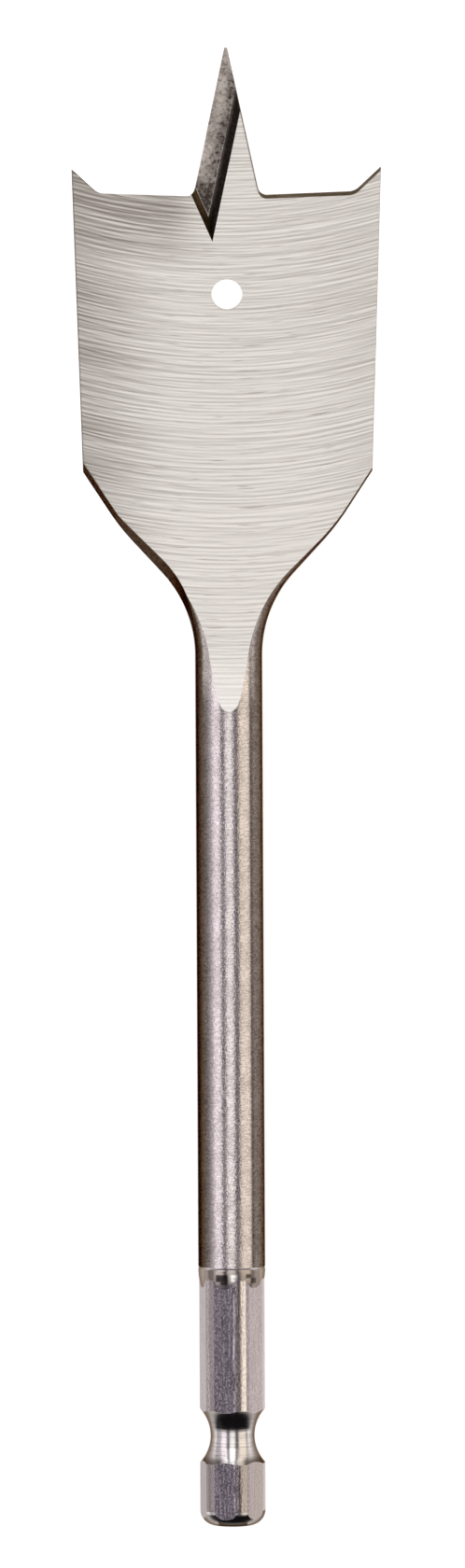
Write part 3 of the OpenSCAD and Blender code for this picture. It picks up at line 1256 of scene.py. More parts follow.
class Effect:
    """A shared pattern: a node group with named inputs and outputs that is built once.

    Scales are clouds for each millimetre along the three axes.
    """

    made: dict[str, bpy.types.NodeTree] = {}
    pit_spread: Ramp = Ramp(0.32, 0.68)
    cloud_scale: Color = (0.55, 0.55, 0.55)
    cloud_spread: Ramp = Ramp(0.3, 0.7)
    speck_scale: Color = (2.3, 2.3, 2.3)
    speck_edge: float = 0.08
    streak_scale: Color = (0.07, 3.6, 0.0)
    hair_scale: Color = (0.22, 4.6, 0.0)
    streak_step: Color = (0.0, 0.17, 0.0)
    streak_spread: Ramp = Ramp(-0.2, 0.2)
    band_scale: Color = (0.05, 0.55, 0.0)
    scratch_scale: Color = (0.25, 4.5, 0.0)
    scratch_spread: Ramp = Ramp(0.64, 0.74)
    edge_turn: Ramp = Ramp(0.995, 0.9)

    @classmethod
    def group(
        cls, name: str, inputs: dict[str, float], outputs: tuple[str, ...]
    ) -> tuple[Graph, dict[str, Amount], dict[str, Socket]]:
        """Starts a group.

        Args:
            name: Name of the group.
            inputs: Name and first value of each number that the group takes.
            outputs: Names of the values that it gives.

        Returns:
            The group's graph, its inputs by name and the sockets that its outputs are joined to.
        """
        tree = cls.made[name] = bpy.data.node_groups.new(name, "ShaderNodeTree")
        add = tree.interface.new_socket
        for key, value in inputs.items():
            add(name=key, in_out="INPUT", socket_type="NodeSocketFloat").default_value = value
        for key in outputs:
            add(name=key, in_out="OUTPUT", socket_type="NodeSocketFloat")
        graph = Graph(tree)
        start, end = graph.node("NodeGroupInput"), graph.node("NodeGroupOutput")
        taken = {key: Amount(graph, start.outputs[key]) for key in inputs}
        return graph, taken, {key: end.inputs[key] for key in outputs}

    @classmethod
    def place(
        cls, graph: Graph, name: str, values: dict[str, float] | None = None
    ) -> dict[str, Amount]:
        """Puts a group into a material, and builds it first where that is still to do.

        Args:
            graph: Graph of the material.
            name: Name of the group.
            values: Name and value of each input that the material sets.

        Returns:
            The group's outputs by name.
        """
        if name not in cls.made:
            getattr(cls, name)()
        node = graph.node("ShaderNodeGroup", values, node_tree=cls.made[name])
        return {s.name: Amount(graph, s) for s in node.outputs}

    @classmethod
    def blast_grain(cls) -> None:
        """Grain of blasted or scaled steel: fine pits, coarser clouds and scattered specks."""
        inputs = {"Fineness": 3.0, "Speck share": 0.6}
        graph, taken, out = cls.group("blast_grain", inputs, ("Pits", "Clouds", "Specks"))
        place = graph.millimetres()
        pits = graph.noise(place, detail=2.0, rough=0.6, fineness=taken["Fineness"])
        graph.join(pits.ramp(*cls.pit_spread), out["Pits"])
        clouds = graph.noise(place, cls.cloud_scale, detail=4.0)
        graph.join(clouds.ramp(*cls.cloud_spread), out["Clouds"])
        specks = graph.noise(place, cls.speck_scale, detail=2.0, rough=0.7)
        low = taken["Speck share"]
        over = {"Value": specks, "From Min": low, "From Max": low + cls.speck_edge}
        graph.join(graph.node("ShaderNodeMapRange", over).outputs[0], out["Specks"])

    @classmethod
    def grind_marks(cls) -> None:
        """Marks of a grinding wheel: one shallow arc across the blade, repeated along the axis.

        The pattern's second coordinate is the place along the axis less the arc's height, which
        is the square of the place across over twice the radius. Streaks and hairs are the
        difference of two samples a small step apart, which leaves only the fine lines.
        """
        outputs = ("Streaks", "Hairs", "Bands", "Scratches")
        graph, taken, out = cls.group("grind_marks", {"Arc radius": 55.0}, outputs)
        x, y, z = graph.axes(graph.millimetres())
        along = y - x * x / taken["Arc radius"] * 0.5
        swept = graph.node("ShaderNodeCombineXYZ", {0: x, 1: along, 2: z}).outputs[0]
        step = {0: swept, 1: cls.streak_step}
        beside = graph.node("ShaderNodeVectorMath", step, operation="ADD").outputs[0]
        for name, scale in (("Streaks", cls.streak_scale), ("Hairs", cls.hair_scale)):
            here, there = (graph.noise(at, scale, detail=2.0) for at in (swept, beside))
            graph.join((here - there).ramp(*cls.streak_spread), out[name])
        bands = graph.noise(swept, cls.band_scale)
        graph.join(bands.ramp(*cls.cloud_spread), out["Bands"])
        scratches = graph.noise(swept, cls.scratch_scale, detail=1.5, rough=0.5)
        graph.join(scratches.ramp(*cls.scratch_spread), out["Scratches"])

    @classmethod
    def edge_band(cls) -> None:
        """Share of a band along an edge: how far a rounded edge's normal leaves the face's own."""
        graph, taken, out = cls.group("edge_band", {"Reach": 0.06}, ("Edge mask",))
        soft = graph.node("ShaderNodeBevel", {"Radius": taken["Reach"] * MM}, samples=6).outputs[0]
        face = graph.node("ShaderNodeNewGeometry").outputs["Normal"]
        turn = graph.node("ShaderNodeVectorMath", {0: soft, 1: face}, operation="DOT_PRODUCT")
        graph.join(Amount(graph, turn.outputs["Value"]).ramp(*cls.edge_turn), out["Edge mask"])

    @classmethod
    def half_turn(cls) -> None:
        """Place on the half of the bit that it belongs to, which half a turn carries to the other.

        Across and Along are millimetres from the frame's origin, and Height from the axis.
        """
        outputs = ("Across", "Along", "Height")
        graph, taken, out = cls.group("half_turn", {"Axis height": 3.45}, outputs)
        x, y, z = graph.axes(graph.millimetres())
        height = z - taken["Axis height"]
        graph.join(x * height.sign(), out["Across"])
        graph.join(y, out["Along"])
        graph.join(abs(height), out["Height"])


@dataclass(frozen=True)
class ColourPatch:
    """Soft-edged patch of another colour, by its place on the bit's own half in millimetres."""

    color: Color
    share: float
    across: Span
    along: Span
    soft: float = 0.12

    def over(self, graph: Graph, color: Socket) -> Socket:
        """Puts the patch over a finish's colour.

        Args:
            graph: Graph of the material.
            color: The finish's own colour.

        Returns:
            The colour with the patch.
        """
        place = Effect.place(graph, "half_turn")
        mask = self.within(place["Across"], self.across) * self.share
        return graph.blend(self.within(place["Along"], self.along) * mask, color, self.color)

    def within(self, value: Amount, reach: Span) -> Amount:
        """Share that is 1 between the two ends of a reach and 0 outside it.

        Args:
            value: Place across or along.
            reach: Its two ends.

        Returns:
            The share.
        """
        low, high = reach
        rise = value.ramp(low - self.soft, low + self.soft)
        return rise * value.ramp(high + self.soft, high - self.soft)


@dataclass(frozen=True)
class Look:
    """What every steel finish on the bit shares: colours, grain, colour patches, edge band and
    bump.

    Roughness goes from the first to the second of its two numbers, as the pattern says. The graze
    colour tints what the steel mirrors at a skimming angle.
    """

    light: Color = (0.6, 0.57, 0.55)
    dark: Color = (0.3, 0.28, 0.26)
    # Pale edge colour: abrasion together with a painted highlight along edges
    edge: Color = (0.8, 0.77, 0.74)
    edge_share: float = 0.6
    edge_reach: float = 0.06
    graze: Color = (1.0, 1.0, 1.0)
    colour_patches: tuple[ColourPatch, ...] = ()
    fineness: float = 3.0
    speck_share: float = 0.6
    roughness: Span = (0.3, 0.42)
    bump: float = 0.004

    def material(self, name: str) -> bpy.types.Material:
        """The finish as a material: bare metal with its own pattern, colour patches and an edge
        band.

        Args:
            name: Name of the material.

        Returns:
            The material.
        """
        made = bpy.data.materials.new(name)
        made.use_nodes = True
        graph = Graph(made.node_tree)
        shader = made.node_tree.nodes["Principled BSDF"]
        shader.inputs["Metallic"].default_value = 1.0
        shader.inputs["Specular Tint"].default_value = (*self.graze, 1.0)
        color, gloss, height = self.pattern(graph)
        for colour_patch in self.colour_patches:
            color = colour_patch.over(graph, color)
        # Band along the edges: abrasion and a painted highlight, and on the ground face a painted
        # shade line
        edge_mask = Effect.place(graph, "edge_band", {"Reach": self.edge_reach})["Edge mask"]
        color = graph.blend(self.edge_paint(graph, edge_mask * self.edge_share), color, self.edge)
        graph.join(color, shader.inputs["Base Color"])
        graph.join(gloss.ramp(0.0, 1.0, *self.roughness), shader.inputs["Roughness"])
        relief = {"Height": height, "Strength": 1.0, "Distance": self.bump * MM}
        graph.join(graph.node("ShaderNodeBump", relief).outputs[0], shader.inputs["Normal"])
        return made

    def pattern(self, graph: Graph) -> tuple[Socket, Amount, Amount]:
        """The finish's own pattern.

        Args:
            graph: Graph of the material.

        Returns:
            The finish's colour, the value that its roughness follows and its bump height.
        """
        raise NotImplementedError

    def edge_paint(self, graph: Graph, edge_mask: Amount) -> Amount:
        """Share of the edge's colour, from the band along all the finish's edges."""
        return edge_mask

    def grain(self, graph: Graph) -> dict[str, Amount]:
        """Pits, clouds and specks of the finish's own fineness."""
        values = {"Fineness": self.fineness, "Speck share": self.speck_share}
        return Effect.place(graph, "blast_grain", values)


@dataclass(frozen=True)
class RoundLook(Look):
    """Round finish with painted shade that browns and darkens it towards the bit's sides."""

    # Rim colour: the painted shade on the sides, and how it follows the surface's turn
    rim: Color = (0.17, 0.133, 0.106)
    flank_shade_turn: Ramp = Ramp(0.87, 0.64, 0.0, 0.9)

    def flank_shade_share(self, graph: Graph) -> Amount:
        """Share of the rim colour's painted shade, by how far the surface turns from front or back.
        """
        return abs(graph.facing()[2]).ramp(*self.flank_shade_turn)


@dataclass(frozen=True)
class GroundFace(Look):
    """Blade face as the wheel ground it, with painted shade at its left edge and upper left corner.
    """

    light: Color = (0.78, 0.757, 0.705)
    dark: Color = (0.27, 0.245, 0.215)
    # Dark edge colour: a painted shade line along the leading side and the point
    edge: Color = (0.07, 0.055, 0.04)
    edge_share: float = 1.0
    edge_reach: float = 0.22
    roughness: Span = (0.42, 0.34)
    bump: float = 0.003
    arc_radius: float = 55.0
    tone: float = 0.9
    # Painted shade: darker towards the left edge and the upper left corner, a little towards the
    # right and the top
    left: Ramp = Ramp(-4.0, -16.5, 0.0, 0.54)
    right: Ramp = Ramp(5.0, 16.0, 0.0, 0.13)
    upper: Ramp = Ramp(34.0, 52.0, 0.0, 0.05)
    corner: Ramp = Ramp(-1.0, -7.0, 0.0, 0.68)
    corner_rise: Ramp = Ramp(52.0, 59.5)
    fine_spread: Span = (0.45, 0.85)
    band_spread: Span = (0.1, 0.4)
    hair_share: float = 0.45
    hair_relief: float = 0.6
    scratch: Color = (0.2, 0.17, 0.14)
    scratch_share: float = 0.45
    # Pale run-out colour: the smoother run-out with a painted highlight
    swept: Color = (0.92, 0.9, 0.86)
    runout_highlight_end: Ramp = Ramp(17.0, 8.5, 0.0, 0.7)
    # Where the painted shade line lies along the leading side and the point
    side_shade_line: Ramp = Ramp(-12.5, -13.5)
    point_from: Ramp = Ramp(61.0, 62.0)
    point_within: Ramp = Ramp(9.0, 8.0)
    point_right: Ramp = Ramp(0.0, 0.5)

    def pattern(self, graph: Graph) -> tuple[Socket, Amount, Amount]:
        """Arc-shaped streaks over a broad change of tone from painted shade, stronger where it is
        darker.

        Args:
            graph: Graph of the material.

        Returns:
            The finish's colour, the value that its roughness follows and its bump height.
        """
        marks = Effect.place(graph, "grind_marks", {"Arc radius": self.arc_radius})
        streaks, hairs = marks["Streaks"], marks["Hairs"]
        across, along, _ = graph.axes(graph.millimetres())
        # Painted shade over the face
        corner = across.ramp(*self.corner) * along.ramp(*self.corner_rise)
        face_shade = across.ramp(*self.left).most(corner)
        face_shade = face_shade + (across.ramp(*self.right) + along.ramp(*self.upper))
        fine = streaks * (1 - self.hair_share) + hairs * self.hair_share
        tone = self.tone - face_shade
        for lines, (low, high) in ((fine, self.fine_spread), (marks["Bands"], self.band_spread)):
            tone = tone + (lines - 0.5) * (face_shade * (high - low) + low)
        color = graph.blend(tone, self.dark, self.light)
        color = graph.blend(marks["Scratches"] * self.scratch_share, color, self.scratch)
        # Painted highlight towards the run-out, which also smooths the streaks there
        color = graph.blend(along.ramp(*self.runout_highlight_end), color, self.swept)
        return color, streaks, streaks + hairs * self.hair_relief

    def edge_paint(self, graph: Graph, edge_mask: Amount) -> Amount:
        """Painted shade as a dark line along the blade's leading side and the point's trailing
        edge.

        Args:
            graph: Graph of the material.
            edge_mask: Band along all the finish's edges.

        Returns:
            Share of the edge's colour.
        """
        place = Effect.place(graph, "half_turn")
        across = place["Across"]
        point = place["Along"].ramp(*self.point_from) * across.ramp(*self.point_within)
        point = point * across.ramp(*self.point_right)
        return across.ramp(*self.side_shade_line).most(point) * edge_mask


@dataclass(frozen=True)
class BlastedShank(RoundLook):
    """Blasted round of shank and neck: sparkling front and back, with painted shade on its flanks.

    The painted shade is deeper on the left and starts sharply on the right. A painted highlight
    lightens the neck beside the ground face, more so on the left.
    """

    light: Color = (0.72, 0.67, 0.66)
    dark: Color = (0.3, 0.27, 0.25)
    graze: Color = (0.25, 0.2, 0.16)
    edge_share: float = 0.8
    edge_reach: float = 0.16
    fineness: float = 4.6
    roughness: Span = (0.15, 0.22)
    bump: float = 0.007
    fuzz_scale: Color = (2.0, 7.5, 2.0)
    fuzz_spread: Ramp = Ramp(0.34, 0.66)
    # Painted shade on the sides: sharp on the right, deeper on the left
    right_flank_shade: Ramp = Ramp(1.9665, 2.208, 0.0, 0.86)
    left_flank_shade: Ramp = Ramp(-1.8975, -3.105, 0.0, 0.75)
    deep_shade: Color = (0.32, 0.27, 0.23)
    # Painted highlight on the neck beside the ground face
    neck_highlight: Color = (0.95, 0.89, 0.82)
    neck_highlight_share: float = 0.7
    neck_highlight_flank: float = 0.9
    neck_highlight_from: Ramp = Ramp(8.0, 13.0)
    neck_highlight_to: Ramp = Ramp(25.0, 17.0)
    neck_highlight_front: Ramp = Ramp(0.57, 0.8)
    neck_highlight_left: Ramp = Ramp(1.0, -1.0, 0.45, 1.0)
    pit_share: float = 0.58
    flank_pits: float = 0.3
    cloud_share: float = 0.16
    # Where the painted highlight along the ground face's border lies
    crease_highlight_left: Ramp = Ramp(0.3, -0.6)
    crease_highlight_from: Ramp = Ramp(8.5, 10.0)

    def pattern(self, graph: Graph) -> tuple[Socket, Amount, Amount]:
        """Coarse pits all over the painted shade of the sides and the neck's painted highlight.

        Args:
            graph: Graph of the material.

        Returns:
            The finish's colour, the value that its roughness follows and its bump height.
        """
        grain, place = self.grain(graph), Effect.place(graph, "half_turn")
        across, along = place["Across"], place["Along"]
        fuzz = graph.noise(graph.millimetres(), self.fuzz_scale, detail=1.0)
        fuzz = fuzz.ramp(*self.fuzz_spread)
        # Painted highlight on the neck, where the surface faces front or back, stronger on the left
        neck_highlight = along.ramp(*self.neck_highlight_from) * along.ramp(*self.neck_highlight_to)
        neck_highlight = neck_highlight * abs(graph.facing()[2]).ramp(*self.neck_highlight_front)
        neck_highlight = neck_highlight * across.ramp(*self.neck_highlight_left)
        # Painted shade on the sides, which the neck's painted highlight lifts
        flank_shade = self.flank_shade_share(graph).most(across.ramp(*self.right_flank_shade))
        flank_shade = flank_shade * (1.0 - neck_highlight * self.neck_highlight_flank)
        color = graph.blend(flank_shade, self.light, self.rim)
        # Deeper painted shade on the left side
        deep_shade = across.ramp(*self.left_flank_shade) * (1.0 - neck_highlight)
        color = graph.blend(deep_shade, color, self.deep_shade, "MULTIPLY")
        color = graph.blend(neck_highlight * self.neck_highlight_share, color, self.neck_highlight)
        pits = (grain["Pits"] + fuzz) * 0.5 * (flank_shade * self.flank_pits + self.pit_share)
        shade = pits + (grain["Clouds"] - 0.5) * self.cloud_share
        color = graph.blend(shade, color, self.dark, "MULTIPLY")
        return color, grain["Clouds"], grain["Pits"]

    def edge_paint(self, graph: Graph, edge_mask: Amount) -> Amount:
        """Painted highlight along the border of the ground face, on its leading side alone."""
        place = Effect.place(graph, "half_turn")
        return edge_mask * place["Across"].ramp(*self.crease_highlight_left) * place["Along"].ramp(*self.crease_highlight_from)


@dataclass(frozen=True)
class HexFlat(Look):
    """Drawn skin of the hex, with lengthwise lines, one bright scored line and a fine sparkle.

    The flats beside the front one are paler with painted light, the far left one darker with
    painted shade, and they are duller on the stub below the groove.
    """

    light: Color = (0.4, 0.362, 0.395)
    dark: Color = (0.32, 0.3, 0.33)
    # Painted light on the side flats and painted shade on the far left one
    side: Color = (0.5, 0.44, 0.43)
    far: Color = (0.36, 0.31, 0.305)
    right_from: Ramp = Ramp(1.5, 1.9)
    right_to: Ramp = Ramp(4.0, 3.85)
    left_from: Ramp = Ramp(-1.78, -1.95)
    far_from: Ramp = Ramp(-2.4, -2.65)
    side_tone: float = 0.6
    edge: Color = (0.95, 0.92, 0.9)
    edge_share: float = 0.8
    edge_reach: float = 0.1
    score: Color = (0.85, 0.8, 0.84)
    score_place: float = 0.2
    score_width: Ramp = Ramp(0.13, 0.04, 0.0, 0.75)
    colour_patches: tuple[ColourPatch, ...] = (
        ColourPatch((0.25, 0.215, 0.21), 0.9, (-4.0, -2.3), (-77.0, -69.0)),
        ColourPatch((0.4, 0.36, 0.32), 0.9, (0.95, 1.5), (-77.0, -69.0)),
        ColourPatch((0.41, 0.355, 0.325), 0.8, (1.7, 4.0), (-77.0, -69.0)),
    )
    fineness: float = 4.2
    roughness: Span = (0.16, 0.22)
    bump: float = 0.009
    line_scale: Color = (4.2, 0.16, 4.2)
    line_spread: Ramp = Ramp(0.35, 0.65)
    line_share: float = 0.3
    pit_share: float = 0.6
    line_relief: float = 0.5

    def pattern(self, graph: Graph) -> tuple[Socket, Amount, Amount]:
        """Lines along the axis over fine pits.

        Args:
            graph: Graph of the material.

        Returns:
            The finish's colour, the value that its roughness follows and its bump height.
        """
        grain, across = self.grain(graph), Effect.place(graph, "half_turn")["Across"]
        lines = graph.noise(graph.millimetres(), self.line_scale, detail=2.0, rough=0.6)
        lines = lines.ramp(*self.line_spread)
        tone = lines * self.line_share + grain["Pits"] * self.pit_share
        side_flat_light = across.ramp(*self.right_from) * across.ramp(*self.right_to)
        side_flat_light = side_flat_light.most(across.ramp(*self.left_from))
        # Painted light on the side flats, painted shade on the far left one
        light = graph.blend(side_flat_light, self.light, self.side)
        light = graph.blend(across.ramp(*self.far_from), light, self.far)
        tone = tone * (1.0 - side_flat_light * self.side_tone)
        color = graph.blend(tone, light, self.dark, "MULTIPLY")
        scored = abs(across - self.score_place).ramp(*self.score_width) * grain["Clouds"]
        color = graph.blend(scored, color, self.score)
        return color, grain["Clouds"], lines * self.line_relief + grain["Pits"]


@dataclass(frozen=True)
class TurnedSteel(RoundLook):
    """Turned and polished steel of the groove, the shank's end and the rounded end of the hex.

    Below the shank's end, painted shade darkens the surface where it dips towards the drive end.
    """

    light: Color = (0.76, 0.73, 0.71)
    dark: Color = (0.55, 0.52, 0.5)
    # Rim colour: the painted shade on the sides
    rim: Color = (0.2, 0.16, 0.135)
    flank_shade_turn: Ramp = Ramp(0.78, 0.4, 0.0, 0.85)
    graze: Color = (0.4, 0.35, 0.3)
    # Near-black colour of the painted shade in the dips
    scale: Color = (0.02, 0.018, 0.017)
    dip_from: Ramp = Ramp(-0.11, -0.25)
    dip_to: Ramp = Ramp(-0.85, -0.6)
    dip_front: Ramp = Ramp(0.5, 0.75, 0.0, 0.97)
    dip_below: Ramp = Ramp(-55.0, -56.0)
    colour_patches: tuple[ColourPatch, ...] = (
        # Shank's end: painted shade, and the painted shade and highlight of its front scallop
        ColourPatch((0.37, 0.32, 0.28), 0.85, (-4.0, 4.0), (-51.8, -49.45)),
        ColourPatch((0.2, 0.16, 0.135), 0.65, (-2.9, -1.9), (-51.0, -49.45)),
        ColourPatch((0.2, 0.16, 0.135), 0.75, (1.9, 2.9), (-51.4, -49.45)),
        ColourPatch((0.3, 0.27, 0.29), 0.8, (-2.0, 1.0), (-52.0, -50.95)),
        ColourPatch((0.025, 0.022, 0.02), 0.95, (-1.65, -0.4), (-50.7, -49.95)),
        ColourPatch((0.025, 0.022, 0.02), 0.9, (-1.2, -0.4), (-51.0, -50.65)),
        ColourPatch((0.95, 0.93, 0.9), 1.0, (-0.1, 0.65), (-50.7, -49.95)),
        ColourPatch((0.04, 0.034, 0.03), 0.9, (1.45, 2.0), (-50.3, -49.9)),
        ColourPatch((0.04, 0.034, 0.03), 0.8, (2.0, 2.5), (-50.9, -50.3)),
        # Foot of the groove: painted shade on both sides, a painted highlight between them
        ColourPatch((0.07, 0.055, 0.045), 0.85, (-4.0, -1.1), (-71.0, -69.1), 0.4),
        ColourPatch((0.07, 0.055, 0.045), 0.85, (1.1, 4.0), (-71.0, -69.0), 0.4),
        ColourPatch((1.0, 0.98, 0.95), 1.0, (-0.7, 0.6), (-70.0, -68.0)),
        # Rim of the end
        ColourPatch((0.04, 0.034, 0.03), 0.9, (-1.5, 1.5), (-77.0, -75.4)),
    )
    roughness: Span = (0.11, 0.2)
    bump: float = 0.008
    ring_scale: Color = (0.15, 6.0, 0.15)
    ring_spread: Ramp = Ramp(0.35, 0.7)

    def pattern(self, graph: Graph) -> tuple[Socket, Amount, Amount]:
        """Fine rings round the axis, and painted shade in the dips of the front and back.

        Args:
            graph: Graph of the material.

        Returns:
            The finish's colour, the value that its roughness follows and its bump height.
        """
        rings = graph.noise(graph.millimetres(), self.ring_scale, rough=0.6)
        rings = rings.ramp(*self.ring_spread)
        steel = graph.blend(rings, self.light, self.dark)
        # Painted shade on the sides, and in the dips towards the drive end
        color = graph.blend(self.flank_shade_share(graph), steel, self.rim)
        _, along, front = graph.facing()
        dip = along.ramp(*self.dip_from) * along.ramp(*self.dip_to)
        dip = dip * Effect.place(graph, "half_turn")["Along"].ramp(*self.dip_below)
        color = graph.blend(dip * abs(front).ramp(*self.dip_front), color, self.scale)
        return color, self.grain(graph)["Clouds"], rings


@dataclass(frozen=True)
class GroundLip(Look):
    """Relief-ground edges or turned sides of the blade, olive-brown."""

    light: Color = (0.12, 0.1, 0.07)
    dark: Color = (0.05, 0.041, 0.03)
    edge_share: float = 0.2
    graze: Color = (0.4, 0.35, 0.3)
    fineness: float = 4.0
    line_scale: Color = (4.0, 4.0, 0.2)
    line_spread: Ramp = Ramp(0.35, 0.65)

    def pattern(self, graph: Graph) -> tuple[Socket, Amount, Amount]:
        """Lines through the thickness over soft clouds.

        Args:
            graph: Graph of the material.

        Returns:
            The finish's colour, the value that its roughness follows and its bump height.
        """
        clouds = self.grain(graph)["Clouds"]
        lines = graph.noise(graph.millimetres(), self.line_scale, rough=0.6)
        lines = lines.ramp(*self.line_spread)
        return graph.blend((lines + clouds) * 0.5, self.light, self.dark), clouds, lines


@dataclass(frozen=True)
class PocketFloor(Look):
    """Pressed floor of the point's pocket: grey-brown, mottled, with dark specks."""

    light: Color = (0.5, 0.455, 0.41)
    dark: Color = (0.06, 0.047, 0.04)
    # Pale edge colour: a painted highlight along the feet of the walls
    edge: Color = (0.95, 0.9, 0.84)
    edge_share: float = 0.9
    edge_reach: float = 0.17
    fineness: float = 3.4
    speck_share: float = 0.55
    roughness: Span = (0.34, 0.48)
    bump: float = 0.012
    foot: Span = (-1.84, 58.9)
    wall_angle: float = 12.2
    # Painted shade beside the long wall and down in the pocket's foot
    beside: Ramp = Ramp(1.3, 0.3, 0.0, 0.42)
    deep_shade: Ramp = Ramp(64.5, 61.3, 0.0, 0.72)
    tone: float = 0.1
    mottle_from: float = 0.35
    cloud_share: float = 0.3
    pit_share: float = 0.36
    speck_depth: float = 0.38
    foot_highlight_below: Ramp = Ramp(69.0, 66.0, 0.15, 1.0)

    def pattern(self, graph: Graph) -> tuple[Socket, Amount, Amount]:
        """Clouds and specks over painted shade beside the long wall and down in the pocket's foot.

        Args:
            graph: Graph of the material.

        Returns:
            The finish's colour, the value that its roughness follows and its bump height.
        """
        grain, place = self.grain(graph), Effect.place(graph, "half_turn")
        lean = math.radians(self.wall_angle)
        off = (place["Across"] - self.foot[0]) * -math.cos(lean)
        off = off + (place["Along"] - self.foot[1]) * math.sin(lean)
        shade = off.ramp(*self.beside).most(place["Along"].ramp(*self.deep_shade))
        mottle = (grain["Clouds"] - self.mottle_from) * self.cloud_share
        mottle = mottle + (grain["Pits"] - self.mottle_from) * self.pit_share
        tone = shade + mottle + self.tone + grain["Specks"] * self.speck_depth
        return graph.blend(tone, self.light, self.dark), grain["Clouds"], grain["Pits"]

    def edge_paint(self, graph: Graph, edge_mask: Amount) -> Amount:
        """Painted highlight along the feet of the walls, and none on the point's own edges."""
        return edge_mask * Effect.place(graph, "half_turn")["Along"].ramp(*self.foot_highlight_below)


@dataclass(frozen=True)
class PocketWall(Look):
    """Steep wall of the pocket, painted nearly black as shade above and greyer towards the floor.
    """

    # Nearly black colours: painted shade on the steep wall
    light: Color = (0.11, 0.092, 0.08)
    dark: Color = (0.018, 0.014, 0.011)
    edge: Color = (0.4, 0.35, 0.3)
    edge_share: float = 0.2
    graze: Color = (0.2, 0.17, 0.14)
    roughness: Span = (0.32, 0.45)
    bump: float = 0.01
    grey: Ramp = Ramp(0.82, 0.5)
    cloud_share: float = 0.35

    def pattern(self, graph: Graph) -> tuple[Socket, Amount, Amount]:
        """Soft clouds over painted shade, lighter towards the floor.

        Args:
            graph: Graph of the material.

        Returns:
            The finish's colour, the value that its roughness follows and its bump height.
        """
        grain = self.grain(graph)
        low = Effect.place(graph, "half_turn")["Height"].ramp(*self.grey)
        tone = low + (grain["Pits"] - 0.5) * self.cloud_share
        return graph.blend(tone, self.dark, self.light), grain["Clouds"], grain["Pits"]


def steel_looks() -> dict[Finish, Look]:
    """The look of each finish.

    Returns:
        A look for every finish of the bit.
    """
    # Corner finish: a painted highlight strip in its side colour
    corner_with_highlight = HexFlat(
        light=(0.5, 0.44, 0.43),
        side=(0.88, 0.83, 0.78),
        right_from=Ramp(0.75, 1.0),
        right_to=Ramp(1.5, 1.35),
    )
    # Foot wall: browner, with the same painted shade
    foot_wall = PocketWall(
        light=(0.22, 0.145, 0.07), dark=(0.07, 0.048, 0.03), grey=Ramp(1.2, 0.7)
    )
    return {
        Finish.GROUND: GroundFace(),
        Finish.SHANK: BlastedShank(),
        Finish.FLAT: HexFlat(),
        Finish.CORNER: corner_with_highlight,
        Finish.TURNED: TurnedSteel(),
        Finish.LIP: GroundLip(),
        Finish.SIDE: GroundLip(light=(0.36, 0.33, 0.29), dark=(0.2, 0.18, 0.155)),
        Finish.FLOOR: PocketFloor(),
        Finish.WALL: PocketWall(),
        Finish.FOOT: foot_wall,
    }


@dataclass(frozen=True)
class Softbox:
    """Long soft light beside or above the bit, which its shank shows as a lengthwise band.

    The two angles are measured at the bit from straight up, towards +X. The radiance is what a
    mirror would show: 1 is white. The light reaches from lower to upper along the bit's axis.
    """

    name: str
    start: float
    end: float
    radiance: float
    color: Color
    distance: float = 1.2
    lower: float = -1.3
    upper: float = 3.6

    def lamp(self) -> bpy.types.Object:
        """The light as a lamp that faces the bit and that the camera doesn't see.

        Returns:
            The lamp.
        """
        middle = math.radians((self.start + self.end) / 2)
        half = math.radians((self.end - self.start) / 2)
        data = bpy.data.lights.new(self.name, "AREA")
        data.shape = "RECTANGLE"
        data.size = 2 * self.distance * math.tan(half)
        data.size_y = self.upper - self.lower
        data.color = self.color
        data.energy = self.radiance * math.pi * data.size * data.size_y
        lamp = bpy.data.objects.new(self.name, data)
        along = (self.lower + self.upper) / 2
        lamp.location = (self.distance * math.sin(middle), along, self.distance * math.cos(middle))
        lamp.rotation_euler = (0.0, middle, 0.0)
        lamp.visible_camera = False
        bpy.context.scene.collection.objects.link(lamp)
        return lamp


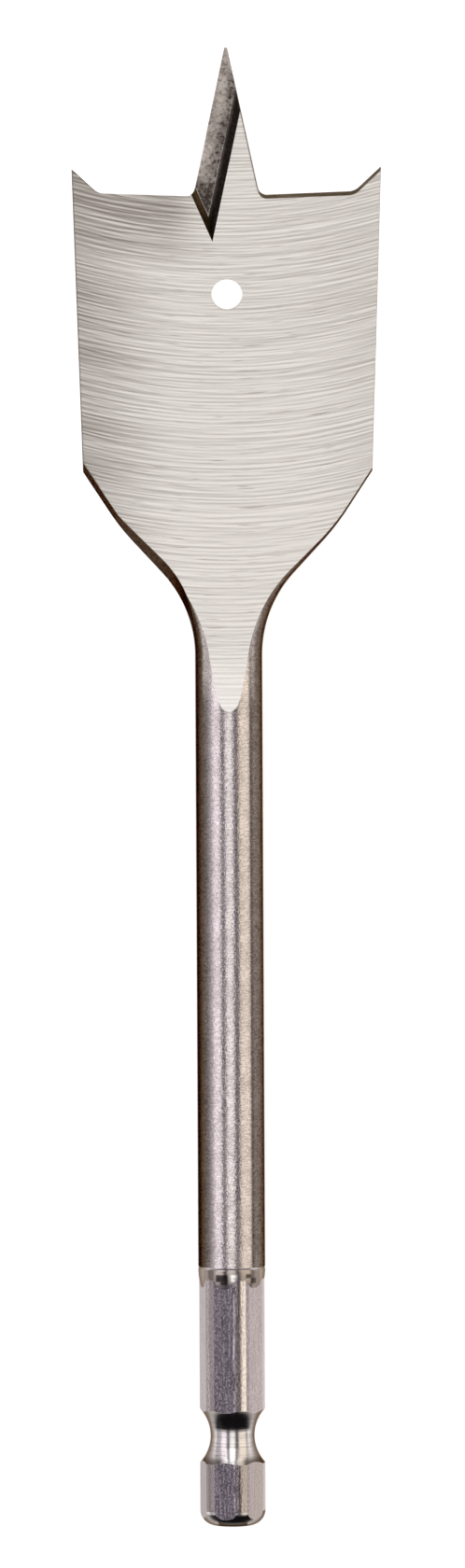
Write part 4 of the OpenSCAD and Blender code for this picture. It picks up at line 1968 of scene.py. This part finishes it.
@dataclass(frozen=True)
class Studio:
    """Pale floor, soft light and the camera at the photograph's angle.

    The camera looks at a target beside the origin, at the height of the bit's axis. These and the
    height of the view are in millimetres, and floor and clip range in metres.
    """

    axis_height: float
    target: Span = (0.33, 0.48)
    focal_length: float = 400.0
    sensor: float = 36.0
    clip: Span = (0.01, 20.0)
    view_height: float = 161.3
    pitch: float = 4.5
    roll: float = 0.288
    floor_side: float = 6.0
    floor_color: Color = (0.8, 0.8, 0.8)
    floor_roughness: float = 0.9
    floor_glow: float = 0.66
    room: Color = (0.15, 0.138, 0.16)
    softboxes: tuple[Softbox, ...] = (
        Softbox("left_softbox", -60, -31, 1.2, (1.0, 0.955, 1.0), lower=-0.62),
        Softbox("low_left_softbox", -86, -60, 0.45, (1.0, 0.955, 1.0)),
        Softbox("top_softbox", -15, 13, 1.17, (1.0, 0.985, 0.97), lower=-0.62),
        Softbox("right_softbox", 32, 75, 1.06, (1.0, 0.905, 0.765), lower=-0.62),
        Softbox("low_right_softbox", 81, 90, 0.8, (1.0, 0.96, 0.95)),
    )

    def camera(self) -> bpy.types.Object:
        """Camera above the bit, a few degrees towards the tip, with the tip up in the image.

        Returns:
            The camera.
        """
        data = bpy.data.cameras.new("photo_camera")
        data.lens = self.focal_length
        data.sensor_width = self.sensor
        data.clip_start, data.clip_end = self.clip
        camera = bpy.data.objects.new("photo_camera", data)
        bpy.context.scene.collection.objects.link(camera)
        tip = math.radians(self.pitch)
        back = Vector((0.0, math.sin(tip), math.cos(tip)))
        right = Vector((1.0, 0.0, 0.0))
        distance = self.focal_length * self.view_height * MM / self.sensor
        place = Vector((*self.target, self.axis_height)) * MM + back * distance
        axes = Matrix((right, back.cross(right), back)).transposed().to_4x4()
        turn = Matrix.Rotation(-math.radians(self.roll), 4, "Z")
        camera.matrix_world = Matrix.Translation(place) @ axes @ turn
        bpy.context.scene.camera = camera
        return camera

    def floor(self) -> bpy.types.Object:
        """Wide plain floor that the bit lies on.

        Its colour takes the bit's shadow, and a little glow of its own lifts it to white where the
        camera or a reflection meets it.

        Returns:
            The floor.
        """
        a = self.floor_side / 2
        mesh = bpy.data.meshes.new("studio_floor")
        mesh.from_pydata([(-a, -a, 0), (a, -a, 0), (a, a, 0), (-a, a, 0)], [], [(0, 1, 2, 3)])
        floor = bpy.data.objects.new("studio_floor", mesh)
        bpy.context.scene.collection.objects.link(floor)
        paint = bpy.data.materials.new("studio_floor")
        paint.use_nodes = True
        graph = Graph(paint.node_tree)
        shader = paint.node_tree.nodes["Principled BSDF"]
        shader.inputs["Base Color"].default_value = (*self.floor_color, 1)
        shader.inputs["Roughness"].default_value = self.floor_roughness
        shader.inputs["Specular IOR Level"].default_value = 0.0
        shader.inputs["Emission Color"].default_value = (1, 1, 1, 1)
        path = graph.node("ShaderNodeLightPath").outputs
        rays = ("Is Camera Ray", "Is Glossy Ray", "Is Transmission Ray")
        camera, glossy, through = (Amount(graph, path[name]) for name in rays)
        seen = camera.most(glossy).most(through)
        graph.join(seen * self.floor_glow, shader.inputs["Emission Strength"])
        mesh.materials.append(paint)
        return floor

    def lights(self) -> None:
        """The softboxes, and a dim plain room that fills the gaps between them."""
        world = bpy.data.worlds.new("studio_room")
        world.use_nodes = True
        world.node_tree.nodes["Background"].inputs["Color"].default_value = (*self.room, 1)
        bpy.context.scene.world = world
        for softbox in self.softboxes:
            softbox.lamp()


def main() -> None:
    """Loads the frame, builds and dresses the bit, and sets up the studio."""
    logging.basicConfig(level=logging.INFO, format="%(name)s: %(message)s")
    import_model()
    sizes = BitSizes.from_box(*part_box(Bit.node))
    looks = steel_looks()
    materials = {finish: look.material(finish.value) for finish, look in looks.items()}
    piece = Bit(sizes).build(materials)
    studio = Studio(sizes.shank_radius)
    studio.floor()
    studio.lights()
    studio.camera()
    bpy.context.scene.view_settings.view_transform = "Standard"


if __name__ == "__main__":
    main()
